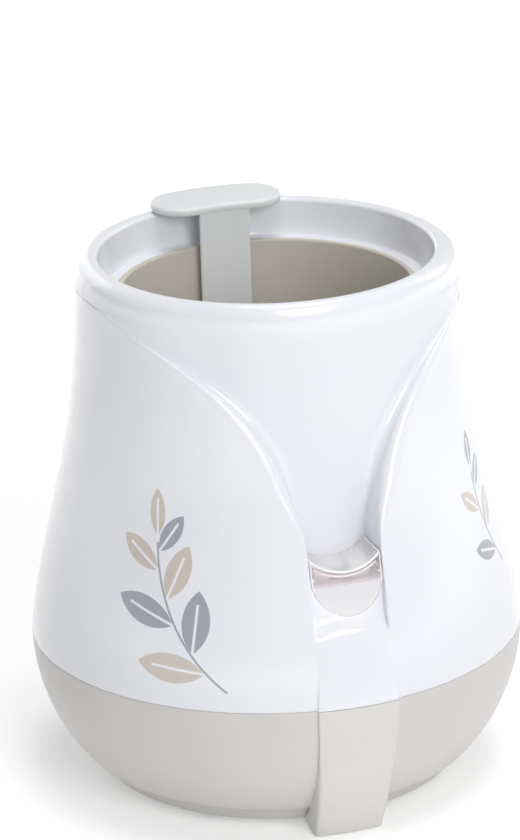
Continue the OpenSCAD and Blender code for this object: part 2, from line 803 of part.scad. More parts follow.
module lamp_board() {
    board_w = 2 * lamp_way - 0.8;
    color("darkgreen") translate([-board_w / 2, -slide_y1, board_z])
        cube([board_w, slide_y1 - slide_y0 - back_t - 0.2, board_t]);
}

module indicator_lamp() {
    lamp_h = 4;
    color("orange") translate([0, -slide_y - 0.6, board_z + board_t]) {
        cylinder(h = lamp_h, r = lamp_r);
        translate([0, 0, lamp_h]) sphere(r = lamp_r);
    }
}

// Region between the recess floor and the lever's front, inside an outline
module lever_span(back) {
    difference() {
        intersection() {
            to_front() children();
            bell_body(lever_proud - channel_depth, seam_z, v_start_z + 2);
        }
        floor_cone(back);
    }
}

module scoop_circle(grow) {
    translate([0, scoop_z + scoop_r]) circle(r = scoop_r + grow);
}

// Clear lever: a round-ended front plate, a scooped shelf for the finger, two cheeks and two pegs
module start_lever() {
    half = lever_w / 2;
    round_z = scoop_z - lever_drop + half;
    cheek_t = 1.3;
    cheek_z = slot_z + lever_travel + run_gap;
    color("whitesmoke") {
        difference() {
            intersection() {
                to_front() difference() {
                    union() {
                        translate([0, round_z]) circle(r = half);
                        translate([-half, round_z]) square([lever_w, v_start_z - round_z]);
                    }
                    scoop_circle(0);
                }
                bell_body(lever_proud - channel_depth, seam_z, v_start_z + 2);
            }
            bell_body(lever_proud - channel_depth - lever_t, seam_z, v_start_z + 2);
        }
        lever_span(run_gap) intersection() {
            difference() {
                scoop_circle(lever_t);
                scoop_circle(0);
            }
            translate([-half, 0]) square([lever_w, v_start_z]);
        }
        for (s = [-1, 1]) lever_span(run_gap) difference() {
            translate([s * (half - cheek_t / 2) - cheek_t / 2, cheek_z])
                square([cheek_t, v_start_z - cheek_z]);
            scoop_circle(0.5);
        }
        for (s = [-1, 1]) difference() {
            translate([s * peg_x, -slide_y, slot_z - peg_l])
                cylinder(h = v_start_z - slot_z + peg_l, r = peg_r);
            to_front() scoop_circle(lever_t / 2);
        }
    }
}

// Slide under the lever: two legs with a way for the lamp's light between them
module lever_slide() {
    leg_w = slide_w / 2 - lamp_way;
    depth = slide_y1 - slide_y0;
    bar_z = board_z + lever_travel + run_gap;
    ear_h = 4;
    color("ivory") difference() {
        union() {
            for (s = [-1, 1]) translate([s * (lamp_way + leg_w / 2) - leg_w / 2, -slide_y1, slide_z])
                cube([leg_w, depth, v_start_z - slide_z]);
            translate([-slide_w / 2, -slide_y0 - back_t, bar_z]) cube([slide_w, back_t, guide_z - bar_z]);
            translate([-guide_x, -slide_y0 - back_t, guide_z - ear_h]) cube([2 * guide_x, back_t, ear_h]);
        }
        to_front() scoop_circle(lever_t + fit);
        for (s = [-1, 1]) translate([s * peg_x, -slide_y, slot_z - peg_l - fit])
            cylinder(h = v_start_z, r = peg_r + snug);
    }
}

module terminal_block() {
    wire_r = 2;
    wire_x = 8;
    wire_z = block_z + 3.5;
    color("beige") difference() {
        translate([-block_w / 2, block_y - block_d / 2, block_z]) cube([block_w, block_d, block_h]);
        for (s = [-1, 1]) {
            rod_y(wire_r, s * wire_x, wire_z, block_y - block_d, block_y + block_d);
            translate([s * wire_x, block_y, wire_z]) cylinder(h = block_h, r = wire_r - 0.2);
        }
        translate([0, block_y, block_z - past]) cylinder(h = block_h + 2 * past, r = screw_pass_r);
    }
}

module terminal_screw() {
    length = block_z + block_h - plate_z - plate_t;
    color("silver") translate([0, block_y, block_z + block_h]) mirror([0, 0, 1]) screw_up(length);
}

module cord_gland() {
    color("gray") difference() {
        union() {
            rod_y(gland_r, 0, cord_z, gland_in_y, gland_face_y + gland_t);
            rod_y(gland_flange_r, 0, cord_z, gland_face_y, gland_face_y + gland_t);
        }
        rod_y(cord_r, 0, cord_z, gland_in_y - past, gland_face_y + gland_t + past);
    }
}

module cord_clamp() {
    color("gray") difference() {
        translate([-saddle_w / 2, saddle_y - saddle_d / 2, cord_z])
            cube([saddle_w, saddle_d, saddle_h]);
        rod_y(cord_r, 0, cord_z, saddle_y - saddle_d, saddle_y + saddle_d);
        for (s = [-1, 1]) translate([s * saddle_screw_x, saddle_y, cord_z - past])
            cylinder(h = saddle_h + 2 * past, r = screw_pass_r);
    }
}

module clamp_screws() {
    color("silver") for (s = [-1, 1])
        translate([s * saddle_screw_x, saddle_y, cord_z + saddle_h]) mirror([0, 0, 1])
            screw_up(saddle_h + bite_h);
}

// Part of a ring about the axis, centred on an angle
module ring_part(r0, r1, z0, z1, middle, half) {
    rotate([0, 0, middle - half]) rotate_extrude(angle = 2 * half)
        translate([r0, z0]) square([r1 - r0, z1 - z0]);
}

// Lift-out basket with a handle that lies over the rear of the rim
module lifter_basket() {
    z0 = well_z + run_gap;
    lifter_r = min(well_low_r, well_r) - lifter_gap;
    r0 = lifter_r - lifter_t;
    inset = 0.2;
    ring_t = 4;
    vent_r = 7;
    vent_at = 22;
    leg_half = 7;
    strap_z = z0 + lifter_t / 2;
    top_z = rim_z + run_gap;
    hook_r = neck_r + 2.2;
    hook_h = 4;
    grip_r = (hook_r - r0) / 2;
    grip_at = (hook_r + r0) / 2;
    grip_half = asin((handle_w / 2 - grip_r) / grip_at);
    strap_half = grip_half - 1;
    color("azure") {
        difference() {
            translate([0, 0, z0]) cylinder(h = lifter_t, r = lifter_r);
            translate([0, 0, z0 - past]) cylinder(h = 2 * past + lifter_t, r = vent_r);
            around([0:60:300], vent_at) translate([0, 0, z0 - past])
                cylinder(h = 2 * past + lifter_t, r = vent_r);
        }
        ring(r0, lifter_r, z0 + ring_h - ring_t, z0 + ring_h);
        for (a = [210, 330])
            ring_part(r0 + inset, lifter_r - inset, strap_z, z0 + ring_h - ring_t / 2, a, leg_half);
        ring_part(r0 + inset, lifter_r - inset, strap_z, top_z + handle_t / 2, 90, strap_half);
        ring_part(r0, hook_r, top_z, top_z + handle_t, 90, grip_half);
        ring_part(hook_r - lifter_t, hook_r - inset, rim_z - hook_h, top_z + handle_t / 2, 90, strap_half);
        for (s = [-1, 1]) rotate([0, 0, 90 + s * grip_half]) translate([grip_at, 0, top_z])
            cylinder(h = handle_t, r = grip_r - inset);
    }
}

upper_shell();
base_shell();
front_foot();
foot_screws();
base_plate();
rubber_feet();
base_screws();
well_cup();
well_seal();
well_screws();
heater_plate();
plate_seal();
heating_element();
clamp_ring();
heat_shield();
heater_screws();
thermostat();
thermostat_strap();
strap_nuts();
thermal_fuse();
fuse_clip();
switch_bracket();
bracket_screws();
switch_body();
switch_plunger();
return_spring();
lamp_board();
indicator_lamp();
start_lever();
lever_slide();
terminal_block();
terminal_screw();
cord_gland();
cord_clamp();
clamp_screws();
lifter_basket();
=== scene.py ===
import json
import math
from contextlib import contextmanager
from functools import partial

import bmesh
import bpy
import numpy as np
from mathutils import Matrix, Vector


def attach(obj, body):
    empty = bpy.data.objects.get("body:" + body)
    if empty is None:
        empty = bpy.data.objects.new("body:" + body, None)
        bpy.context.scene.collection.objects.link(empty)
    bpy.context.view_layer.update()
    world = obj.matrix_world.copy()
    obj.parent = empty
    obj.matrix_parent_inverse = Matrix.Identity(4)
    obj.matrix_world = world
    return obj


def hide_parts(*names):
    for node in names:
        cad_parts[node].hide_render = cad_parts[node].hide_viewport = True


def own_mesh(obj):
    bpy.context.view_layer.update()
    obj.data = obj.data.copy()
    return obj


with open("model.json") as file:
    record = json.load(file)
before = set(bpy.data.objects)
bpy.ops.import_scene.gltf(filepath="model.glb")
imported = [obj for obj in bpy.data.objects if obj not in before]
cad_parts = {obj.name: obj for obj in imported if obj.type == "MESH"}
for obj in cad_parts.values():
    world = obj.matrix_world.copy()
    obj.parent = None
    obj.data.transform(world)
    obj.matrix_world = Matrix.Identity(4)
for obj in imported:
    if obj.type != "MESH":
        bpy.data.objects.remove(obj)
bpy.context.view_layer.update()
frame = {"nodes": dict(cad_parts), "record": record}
nodes = frame["nodes"]
scene = bpy.context.scene
scene.view_settings.view_transform = "Standard"
mm = 0.001
print("frame loaded with", len(nodes), "nodes")

# camera, at the photograph's angle
viewSet = {
    "azimuth": -18.2,
    "elevation": 20.08,
    "roll": 1.697,
    "distance": 1.2535,
    "target": (-0.00282, 0.00093, 0.1009),
    "focalPixels": 4500,
    "frameHigh": 840,
    "sensor": 36,
    "reach": 20,
}


def placeCamera(v):
    a, e, turn = (math.radians(v[name]) for name in ("azimuth", "elevation", "roll"))
    back = Vector((math.sin(a) * math.cos(e), -math.cos(a) * math.cos(e), math.sin(e)))
    right = Vector((math.cos(a), math.sin(a), 0))
    up = back.cross(right)
    imageRight = right * math.cos(turn) - up * math.sin(turn)
    imageUp = right * math.sin(turn) + up * math.cos(turn)
    data = bpy.data.cameras.new("camera")
    data.sensor_fit = "VERTICAL"
    data.sensor_height = data.sensor_width = v["sensor"]
    data.lens = v["focalPixels"] / v["frameHigh"] * v["sensor"]
    data.clip_end = v["reach"]
    camera = bpy.data.objects.new("camera", data)
    place = Matrix((imageRight, imageUp, back)).transposed().to_4x4()
    place.translation = Vector(v["target"]) + back * v["distance"]
    camera.matrix_world = place
    scene.collection.objects.link(camera)
    scene.camera = camera


placeCamera(viewSet)
print("camera placed")


def tone(r, g, b):  # screen colour, 0 to 255, as a scene colour
    def one(c):
        c = c / 255
        return c / 12.92 if c <= 0.04045 else ((c + 0.055) / 1.055) ** 2.4

    return (one(r), one(g), one(b), 1.0)


def addNode(tree, kind, feeds=None, **settings):  # feeds: links and plain values for the node's inputs
    node = tree.nodes.new(kind)
    for name, value in settings.items():
        setattr(node, name, value)
    for name, value in (feeds or {}).items():
        if isinstance(value, bpy.types.NodeSocket):
            tree.links.new(value, node.inputs[name])
        elif value is not None:
            node.inputs[name].default_value = value
    return node


def mathNode(tree, operation, first, second=None, clamp=False):
    feeds = {0: first, 1: second}
    return addNode(tree, "ShaderNodeMath", feeds, operation=operation, use_clamp=clamp).outputs[0]


def sums(tree):  # plus, minus and times for one tree
    return [partial(mathNode, tree, operation) for operation in ("ADD", "SUBTRACT", "MULTIPLY")]


def newTree(kind, name, inputs, outputs):  # each socket's kind follows its value, and words stand for geometry
    kinds = {float: "Float", int: "Int", tuple: "Vector", str: "Geometry"}
    tree = bpy.data.node_groups.new(name, kind)
    for sockets, way in ((inputs, "INPUT"), (outputs, "OUTPUT")):
        for label, value in sockets.items():
            socketKind = "NodeSocket" + kinds[type(value)]
            socket = tree.interface.new_socket(name=label, in_out=way, socket_type=socketKind)
            if not isinstance(value, str):
                socket.default_value = value
    return tree, addNode(tree, "NodeGroupInput").outputs, addNode(tree, "NodeGroupOutput").inputs


def objectPlace(tree):
    return addNode(tree, "ShaderNodeTexCoord").outputs["Object"]


def grainGroup():  # fine moulded grain and a slow drift of tone
    sizes = {"Grain Scale": 900.0, "Drift Scale": 25.0}
    tree, source, sink = newTree("ShaderNodeTree", "mouldedGrain", sizes, {"Height": 0.0, "Drift": 0.0})
    place = objectPlace(tree)
    for label, detail, out in (("Grain Scale", 3, "Height"), ("Drift Scale", 2, "Drift")):
        feeds = {"Vector": place, "Scale": source[label], "Detail": detail}
        tree.links.new(addNode(tree, "ShaderNodeTexNoise", feeds).outputs["Fac"], sink[out])
    return tree


def speckleGroup():  # small dark and light grains of a spark-eroded mould
    sizes = {"Scale": 1400.0}
    tree, source, sink = newTree("ShaderNodeTree", "sparkSpeckle", sizes, {"Height": 0.0, "Speckle": 0.0})
    feeds = {"Vector": objectPlace(tree), "Scale": source["Scale"]}
    cells = addNode(tree, "ShaderNodeTexVoronoi", feeds).outputs["Distance"]
    cloud = addNode(tree, "ShaderNodeTexNoise", {**feeds, "Detail": 4}).outputs["Fac"]
    tree.links.new(cells, sink["Height"])
    tree.links.new(mathNode(tree, "MULTIPLY", cells, cloud), sink["Speckle"])
    return tree


def brushedGroup():  # streaks of a turned or drawn metal
    sizes = {"Scale": 600.0, "Stretch": (1.0, 1.0, 0.08)}
    tree, source, sink = newTree("ShaderNodeTree", "brushedStreaks", sizes, {"Streak": 0.0})
    feeds = {0: objectPlace(tree), 1: source["Stretch"]}
    drawn = addNode(tree, "ShaderNodeVectorMath", feeds, operation="MULTIPLY").outputs[0]
    feeds = {"Vector": drawn, "Scale": source["Scale"], "Detail": 5}
    tree.links.new(addNode(tree, "ShaderNodeTexNoise", feeds).outputs["Fac"], sink["Streak"])
    return tree


# print on the white shell: sprigs of leaves on the UV map, in millimetres round the bell and up from the floor
printSet = {
    "unit": 0.01,  # of the map, for a millimetre
    "bellR": 60.0,
    "taupe": (205, 196, 187),
    "slate": (160, 165, 175),
    "stemHalf": 0.35,
    "ribHalf": 0.3,
    "stalk": 0.5,
    "spread": 42.0,
    "crisp": 900,
    "tip": (0.55, 400),  # where the midrib ends, and how sharply
    "stemEnd": 200,
    # centre, radius and ends of each stem, then its leaves: heading, side, tint, half length and half width
    "sprigs": [
        ((4.6, 91.7), 57.0, (141.0, 96.0), [
            (134.0, 1, "taupe", 9.0, 4.0), (128.0, -1, "slate", 8.6, 3.8), (119.0, 1, "slate", 8.8, 3.9),
            (112.0, -1, "taupe", 8.0, 3.5), (104.0, 1, "taupe", 7.2, 3.1), (99.0, -1, "slate", 6.2, 2.7),
            (95.0, 0, "taupe", 6.4, 2.5),
        ]),
        ((92.0, 88.0), 40.0, (128.0, 84.0), [
            (120.0, 1, "slate", 6.4, 2.8), (110.0, -1, "taupe", 6.2, 2.7), (100.0, 1, "taupe", 5.8, 2.5),
            (91.0, -1, "slate", 5.2, 2.2), (83.0, 0, "slate", 5.2, 2.1),
        ]),
        ((160.0, 94.0), 52.0, (138.0, 98.0), [
            (130.0, 1, "slate", 8.0, 3.5), (123.0, -1, "taupe", 7.8, 3.4), (114.0, 1, "taupe", 7.4, 3.2),
            (106.0, -1, "slate", 6.6, 2.8), (97.0, 0, "slate", 6.4, 2.6),
        ]),
        ((-92.0, 102.0), 38.0, (132.0, 92.0), [
            (124.0, 1, "taupe", 6.2, 2.7), (115.0, -1, "slate", 6.0, 2.6), (105.0, 1, "slate", 5.4, 2.3),
            (91.0, 0, "taupe", 5.2, 2.1),
        ]),
    ],
}


def printGroup(name, **sizes):  # the UV map as seen from the middle of one leaf or stem
    sizes = {label.replace("_", " "): value for label, value in sizes.items()}
    sizes = {"Map": (0, 0, 0), "Centre": (0, 0, 0), "Turn": 0.0, **sizes}
    tree, source, sink = newTree("ShaderNodeTree", name, sizes, {"Mask": 0.0})
    feeds = {0: source["Map"], 1: source["Centre"]}
    away = addNode(tree, "ShaderNodeVectorMath", feeds, operation="SUBTRACT").outputs[0]
    feeds = {"Vector": away, "Angle": source["Turn"]}
    spot = addNode(tree, "ShaderNodeVectorRotate", feeds, rotation_type="Z_AXIS", invert=True).outputs[0]
    split = addNode(tree, "ShaderNodeSeparateXYZ", {0: spot}).outputs
    return tree, source, sink, split["X"], split["Y"]


def leafGroup():  # one printed leaf: two arcs with an open midrib
    tree, source, sink, x, y = printGroup("printedLeaf", Half_Length=0.05, Half_Width=0.02, Rib=0.0025)
    plus, minus, times = sums(tree)
    crisp, (tipFrom, tipCrisp) = printSet["crisp"], printSet["tip"]
    long, wide, across = source["Half Length"], source["Half Width"], mathNode(tree, "ABSOLUTE", y)
    bow = mathNode(tree, "DIVIDE", plus(times(long, long), times(wide, wide)), times(wide, 2))
    chord = mathNode(tree, "MAXIMUM", minus(times(bow, bow), times(x, x)), 0)
    edge = minus(plus(mathNode(tree, "SQRT", chord), wide), plus(bow, across))
    ribOpen = times(minus(across, source["Rib"]), crisp, True)
    tip = times(minus(x, times(long, tipFrom)), tipCrisp, True)
    mask = times(times(edge, crisp, True), mathNode(tree, "MAXIMUM", ribOpen, tip))
    tree.links.new(mask, sink["Mask"])
    return tree


def stemGroup():  # one printed stem: a thin arc
    tree, source, sink, x, y = printGroup("printedStem", Radius=0.5, Half_Sweep=0.4, Half_Width=0.004)
    plus, minus, times = sums(tree)
    far = mathNode(tree, "SQRT", plus(times(x, x), times(y, y)))
    off = mathNode(tree, "ABSOLUTE", minus(far, source["Radius"]))
    angle = mathNode(tree, "ABSOLUTE", mathNode(tree, "ARCTAN2", y, x))
    line = times(minus(source["Half Width"], off), printSet["crisp"], True)
    within = times(minus(source["Half Sweep"], angle), printSet["stemEnd"], True)
    tree.links.new(times(line, within), sink["Mask"])
    return tree


groups = {
    "grain": grainGroup(),
    "speckle": speckleGroup(),
    "brushed": brushedGroup(),
    "leaf": leafGroup(),
    "stem": stemGroup(),
}


def useGroup(tree, name, **feeds):
    feeds = {label.replace("_", " "): value for label, value in feeds.items()}
    return addNode(tree, "ShaderNodeGroup", feeds, node_tree=groups[name]).outputs


def blendColours(tree, factor, first, second):
    return addNode(tree, "ShaderNodeMix", {0: factor, 6: first, 7: second}, data_type="RGBA").outputs[2]


def spread(tree, value, low, high):  # takes the middle range of a noise to a range of its own
    feeds = {"Value": value, "From Min": 0.3, "From Max": 0.7, "To Min": low, "To Max": high}
    return addNode(tree, "ShaderNodeMapRange", feeds).outputs["Result"]


def twoTones(tree, mask, light, dark):
    return blendColours(tree, spread(tree, mask, 0.0, 1.0), tone(*light), tone(*dark))


def newMaterial(name, **sockets):
    material = bpy.data.materials.new(name)
    material.use_nodes = True
    shader = material.node_tree.nodes["Principled BSDF"].inputs
    for label, value in sockets.items():
        shader[label.replace("_", " ")].default_value = value
    return material, material.node_tree, shader


def cover(tree, shader, colour, height, rough, bump=None):  # rough: lowest and highest; bump: strength and depth
    tree.links.new(colour, shader["Base Color"])
    tree.links.new(spread(tree, height, *rough), shader["Roughness"])
    if bump:
        feeds = {"Height": height, "Strength": bump[0], "Distance": bump[1]}
        tree.links.new(addNode(tree, "ShaderNodeBump", feeds).outputs["Normal"], shader["Normal"])


def mouldedFinish(name, light, dark, rough, grainScale=900.0, depth=0.00002, bump=0.2, **sockets):
    material, tree, shader = newMaterial(name, **sockets)
    grain = useGroup(tree, "grain", Grain_Scale=grainScale, Drift_Scale=22.0)
    colour = twoTones(tree, grain["Drift"], light, dark)
    cover(tree, shader, colour, grain["Height"], (rough * 0.9, rough * 1.1), (bump, depth))
    return material


def metalFinish(name, light, dark, rough, scale=700.0, stretch=(1.0, 1.0, 0.08)):
    material, tree, shader = newMaterial(name, Metallic=1.0)
    streak = useGroup(tree, "brushed", Scale=scale, Stretch=stretch)["Streak"]
    colour = twoTones(tree, streak, light, dark)
    cover(tree, shader, colour, streak, (rough * 0.8, rough * 1.25), (0.15, 0.00002))
    return material


def sprigMasks(tree, uvMap, tint):
    p = printSet
    unit = p["unit"]
    masks = []
    for (cx, cy), radius, (low, high), leaves in p["sprigs"]:
        if tint == "slate":
            stem = {
                "Centre": (cx * unit, cy * unit, 0),
                "Turn": math.radians((low + high) / 2 + 90),
                "Radius": radius * unit,
                "Half_Sweep": math.radians(abs(low - high) / 2),
                "Half_Width": p["stemHalf"] * unit,
            }
            masks.append(useGroup(tree, "stem", Map=uvMap, **stem)["Mask"])
        for heading, side, leafTint, long, wide in leaves:
            if leafTint != tint:
                continue
            a = math.radians(heading)
            b = math.radians(heading + side * p["spread"])
            x = cx - radius * math.sin(a) + (long + p["stalk"]) * math.cos(b)
            y = cy + radius * math.cos(a) + (long + p["stalk"]) * math.sin(b)
            leaf = {
                "Centre": (x * unit, y * unit, 0),
                "Turn": b,
                "Half_Length": long * unit,
                "Half_Width": wide * unit,
                "Rib": p["ribHalf"] * unit,
            }
            masks.append(useGroup(tree, "leaf", Map=uvMap, **leaf)["Mask"])
    joined = masks[0]
    for mask in masks[1:]:
        joined = mathNode(tree, "MAXIMUM", joined, mask)
    return joined


def whiteShellFinish():
    material, tree, shader = newMaterial("whiteGlossShell", Coat_Weight=0.6, Coat_Roughness=0.06)
    grain = useGroup(tree, "grain", Grain_Scale=420.0, Drift_Scale=16.0)
    colour = twoTones(tree, grain["Drift"], (239, 241, 246), (235, 237, 243))
    uvMap = addNode(tree, "ShaderNodeUVMap", uv_map="bellMap").outputs["UV"]
    for tint in ("slate", "taupe"):
        colour = blendColours(tree, sprigMasks(tree, uvMap, tint), colour, tone(*printSet[tint]))
    cover(tree, shader, colour, grain["Height"], (0.16, 0.2), (0.05, 0.00002))
    return material


def footFinish():
    material, tree, shader = newMaterial("speckledFoot")
    speckle = useGroup(tree, "speckle", Scale=2200.0)
    colour = twoTones(tree, speckle["Speckle"], (223, 221, 218), (213, 211, 208))
    cover(tree, shader, colour, speckle["Height"], (0.5, 0.62), (0.35, 0.00006))
    return material


def clearFinish(name, light, dark, rough, clear):  # clear plastic that lets light through to what it covers
    material, tree, shader = newMaterial(name, Transmission_Weight=clear, IOR=1.49, Specular_IOR_Level=0.5)
    grain = useGroup(tree, "grain", Grain_Scale=300.0, Drift_Scale=60.0)
    colour = twoTones(tree, grain["Drift"], light, dark)
    cover(tree, shader, colour, grain["Height"], (rough * 0.9, rough * 1.1))
    shadow = addNode(tree, "ShaderNodeLightPath").outputs["Is Shadow Ray"]
    tree.links.new(mathNode(tree, "SUBTRACT", 1.0, shadow), shader["Alpha"])
    return material


# name, light and dark tone, roughness, then the grain's scale, depth and strength
mouldedSet = {
    "warm_grey": ("warmGreySkirt", (217, 214, 212), (213, 210, 208), 0.4, 700.0, 0.00003, 0.25),
    "plate_grey": ("warmGreyPlate", (214, 212, 208), (207, 205, 201), 0.5, 900.0, 0.00004, 0.3),
    "rubber_grey": ("padRubber", (92, 92, 94), (80, 80, 82), 0.75, 1500.0, 0.00005, 0.4),
    "well_cream": ("creamLining", (208, 203, 191), (200, 195, 183), 0.35, 600.0, 0.00003, 0.2),
    "silicone": ("paleSilicone", (214, 214, 214), (204, 204, 204), 0.55),
    "thermostat_brown": ("brownResin", (92, 64, 48), (80, 55, 41), 0.5),
    "bracket_white": ("satinBracket", (220, 222, 224), (212, 214, 216), 0.45),
    "switch_black": ("switchBlack", (30, 30, 31), (24, 24, 25), 0.45),
    "plunger_red": ("plungerRed", (176, 42, 34), (160, 36, 30), 0.4),
    "board_green": ("coatedBoard", (34, 88, 54), (28, 76, 46), 0.35),
    "slide_white": ("satinSlide", (226, 226, 222), (218, 218, 214), 0.42),
    "terminal_cream": ("terminalCream", (222, 214, 192), (212, 204, 182), 0.45),
    "gland_grey": ("glandGrey", (136, 135, 134), (126, 125, 124), 0.5),
}
# name, light and dark tone, roughness, then the streaks' scale and stretch
metalSet = {
    "steel": ("plainScrewSteel", (190, 190, 193), (160, 160, 164), 0.3),
    "hot_plate": ("turnedPlate", (205, 205, 207), (178, 178, 181), 0.35, 500.0, (1.0, 0.05, 1.0)),
    "element_steel": ("oxidisedTube", (92, 90, 90), (70, 68, 68), 0.5),
    "pressed_steel": ("zincSheet", (180, 182, 186), (158, 160, 165), 0.38),
    "shield_aluminium": ("drawnShield", (208, 209, 211), (186, 187, 190), 0.33),
    "fuse_brass": ("fuseCase", (205, 176, 116), (186, 156, 98), 0.3),
}
lampGlass = {"Transmission_Weight": 0.5, "IOR": 1.49}
milky = {"Subsurface_Weight": 0.3, "Subsurface_Radius": (0.003, 0.003, 0.003), "Subsurface_Scale": 1.0}
lifterTones = ((232, 235, 236), (227, 230, 232))
finishes = {
    "white_gloss": whiteShellFinish(),
    "foot_grey": footFinish(),
    "lever_clear": clearFinish("clearLever", (222, 215, 217), (218, 211, 213), 0.06, 0.76),
    "lamp_amber": mouldedFinish("amberLens", (240, 168, 60), (232, 156, 50), 0.12, **lampGlass),
    "lifter_frost": mouldedFinish("milkyLifter", *lifterTones, 0.34, 500.0, 0.00002, 0.1, **milky),
}
finishes.update({slot: mouldedFinish(*row) for slot, row in mouldedSet.items()})
finishes.update({slot: metalFinish(*row) for slot, row in metalSet.items()})
leverLooks = [  # copies of the clear finish with light and shade painted in: a lighter painted top on the scoop, a white painted highlight on its rounded edges, and painted shade on its tab
    # painted light: a paler, less clear copy that lightens the scoop's top
    clearFinish("paintedLightLeverTop", (248, 248, 249), (243, 243, 245), 0.2, 0.54),
    # painted highlight: near-white and nearly opaque, for bright lines along the rounded edges
    clearFinish("paintedHighlightLeverEdge", (255, 255, 255), (252, 252, 252), 0.15, 0.1),
    # painted shade: a duller, less clear copy that keeps the round tab a little grey, with a painted line where it
    # meets the band above
    clearFinish("paintedShadeLeverTab", (235, 235, 236), (232, 232, 233), 0.12, 0.3),
]
slots = {row["node"]: row["material_slot"] for row in frame["record"]["subparts"]}
for name, slot in slots.items():
    nodes[name].data.materials.clear()
    nodes[name].data.materials.append(finishes[slot])
print("finishes made:", len(finishes))


def smooth(t):
    t = min(max(t, 0.0), 1.0)
    return t * t * (3 - 2 * t)


def mix(a, b, t):
    return a + (b - a) * t


def part(value, span):  # how far a value is along a span
    return (value - span[0]) / (span[1] - span[0])


def ahead(r, a):  # place in the plan, turned from the front
    return np.array((r * math.sin(a), -r * math.cos(a)))


def around(r, a):  # place in the plan, turned from the right
    return (r * math.cos(a), r * math.sin(a))


def quarter(steps):  # turns of a rounded edge
    return [math.pi / 2 * i / steps for i in range(steps + 1)]


def bendAt(a, b, c, t):  # place on the curve from a to c that leans towards b
    return (1 - t) ** 2 * a + 2 * t * (1 - t) * b + t * t * c


def bezierPoint(p, t):
    u = 1 - t
    return tuple(u**3 * a + 3 * u * u * t * b + 3 * u * t * t * c + t**3 * d for a, b, c, d in zip(*p))


def rounded(profile, radius, steps=4):  # closed profile with its corners rounded
    out = []
    for i, p in enumerate(profile):
        before, p, after = (np.array(c) for c in (profile[i - 1], p, profile[(i + 1) % len(profile)]))
        backward, forward = np.linalg.norm(before - p), np.linalg.norm(after - p)
        bend = min(radius, 0.45 * backward, 0.45 * forward)
        first = p + (before - p) / backward * bend
        last = p + (after - p) / forward * bend
        out += [tuple(bendAt(first, p, last, j / steps)) for j in range(steps + 1)]
    return out


@contextmanager
def editing(mesh):
    work = bmesh.new()
    work.from_mesh(mesh)
    yield work
    work.to_mesh(mesh)
    work.free()


def mergePoints(mesh, near):
    with editing(mesh) as work:
        bmesh.ops.remove_doubles(work, verts=work.verts, dist=near)


def faceOutwards(mesh):
    with editing(mesh) as work:
        bmesh.ops.recalc_face_normals(work, faces=work.faces)


def shade(mesh, sharp=35.0):
    mesh.shade_smooth()
    mesh.set_sharp_from_angle(angle=math.radians(sharp))


def showPiece(name, mesh):
    piece = bpy.data.objects.new(name, mesh)
    scene.collection.objects.link(piece)
    return piece


def newPiece(name, points, faces, slot, sharp=35.0):  # points in millimetres
    mesh = bpy.data.meshes.new(name)
    mesh.from_pydata([tuple(c * mm for c in p) for p in points], [], faces)
    mesh.validate()
    shade(mesh, sharp)
    mesh.materials.append(finishes[slot])
    return showPiece(name, mesh)


def setInPlace(piece, body, slot, *replaced):
    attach(piece, body)
    if replaced:
        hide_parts(*replaced)
    print("piece", piece.name, len(piece.data.polygons), "faces")


def thicken(piece, wall):  # inwards from the drawn surface
    modifier = piece.modifiers.new("wall", "SOLIDIFY")
    modifier.thickness = wall * mm
    modifier.offset = -1


def evaluated(piece):
    graph = bpy.context.evaluated_depsgraph_get()
    return bpy.data.meshes.new_from_object(piece.evaluated_get(graph), depsgraph=graph)


def bands(rows, size):  # quads between rows of points that close on themselves
    faces = []
    for j in range(rows - 1):
        for i in range(size):
            k = (i + 1) % size
            faces.append((j * size + i, j * size + k, (j + 1) * size + k, (j + 1) * size + i))
    return faces


def caps(rows, size):
    return [tuple(reversed(range(size))), tuple(range((rows - 1) * size, rows * size))]


def prism(name, levels, slot, sharp=35.0):  # levels: heights with their loops of points in the plan
    rows, size = len(levels), len(levels[0][1])
    points = [(x, y, z) for z, loop in levels for x, y in loop]
    piece = newPiece(name, points, bands(rows, size) + caps(rows, size), slot, sharp)
    faceOutwards(piece.data)
    return piece


def lathe(name, profile, slot, segments=160, place=None):  # closed profile of radius and height
    points, faces = [], []
    count = len(profile)
    for i in range(segments):
        a = 2 * math.pi * i / segments
        k = (i + 1) % segments
        for j, (r, z) in enumerate(profile):
            p = Vector((*around(r, a), z))
            points.append(tuple(place @ p if place else p))
            n = (j + 1) % count
            faces.append((i * count + j, k * count + j, k * count + n, i * count + n))
    piece = newPiece(name, points, faces, slot)
    with editing(piece.data) as work:
        bmesh.ops.remove_doubles(work, verts=work.verts, dist=1e-7)
        bmesh.ops.dissolve_degenerate(work, edges=work.edges, dist=1e-7)
        bmesh.ops.recalc_face_normals(work, faces=work.faces)
    return piece


def combine(base, others, operation):
    for other in others:
        step = base.modifiers.new("combine", "BOOLEAN")
        step.operation = operation
        step.object = other
    mesh = evaluated(base)
    base.modifiers.clear()
    base.data = mesh
    for other in others:
        bpy.data.objects.remove(other)


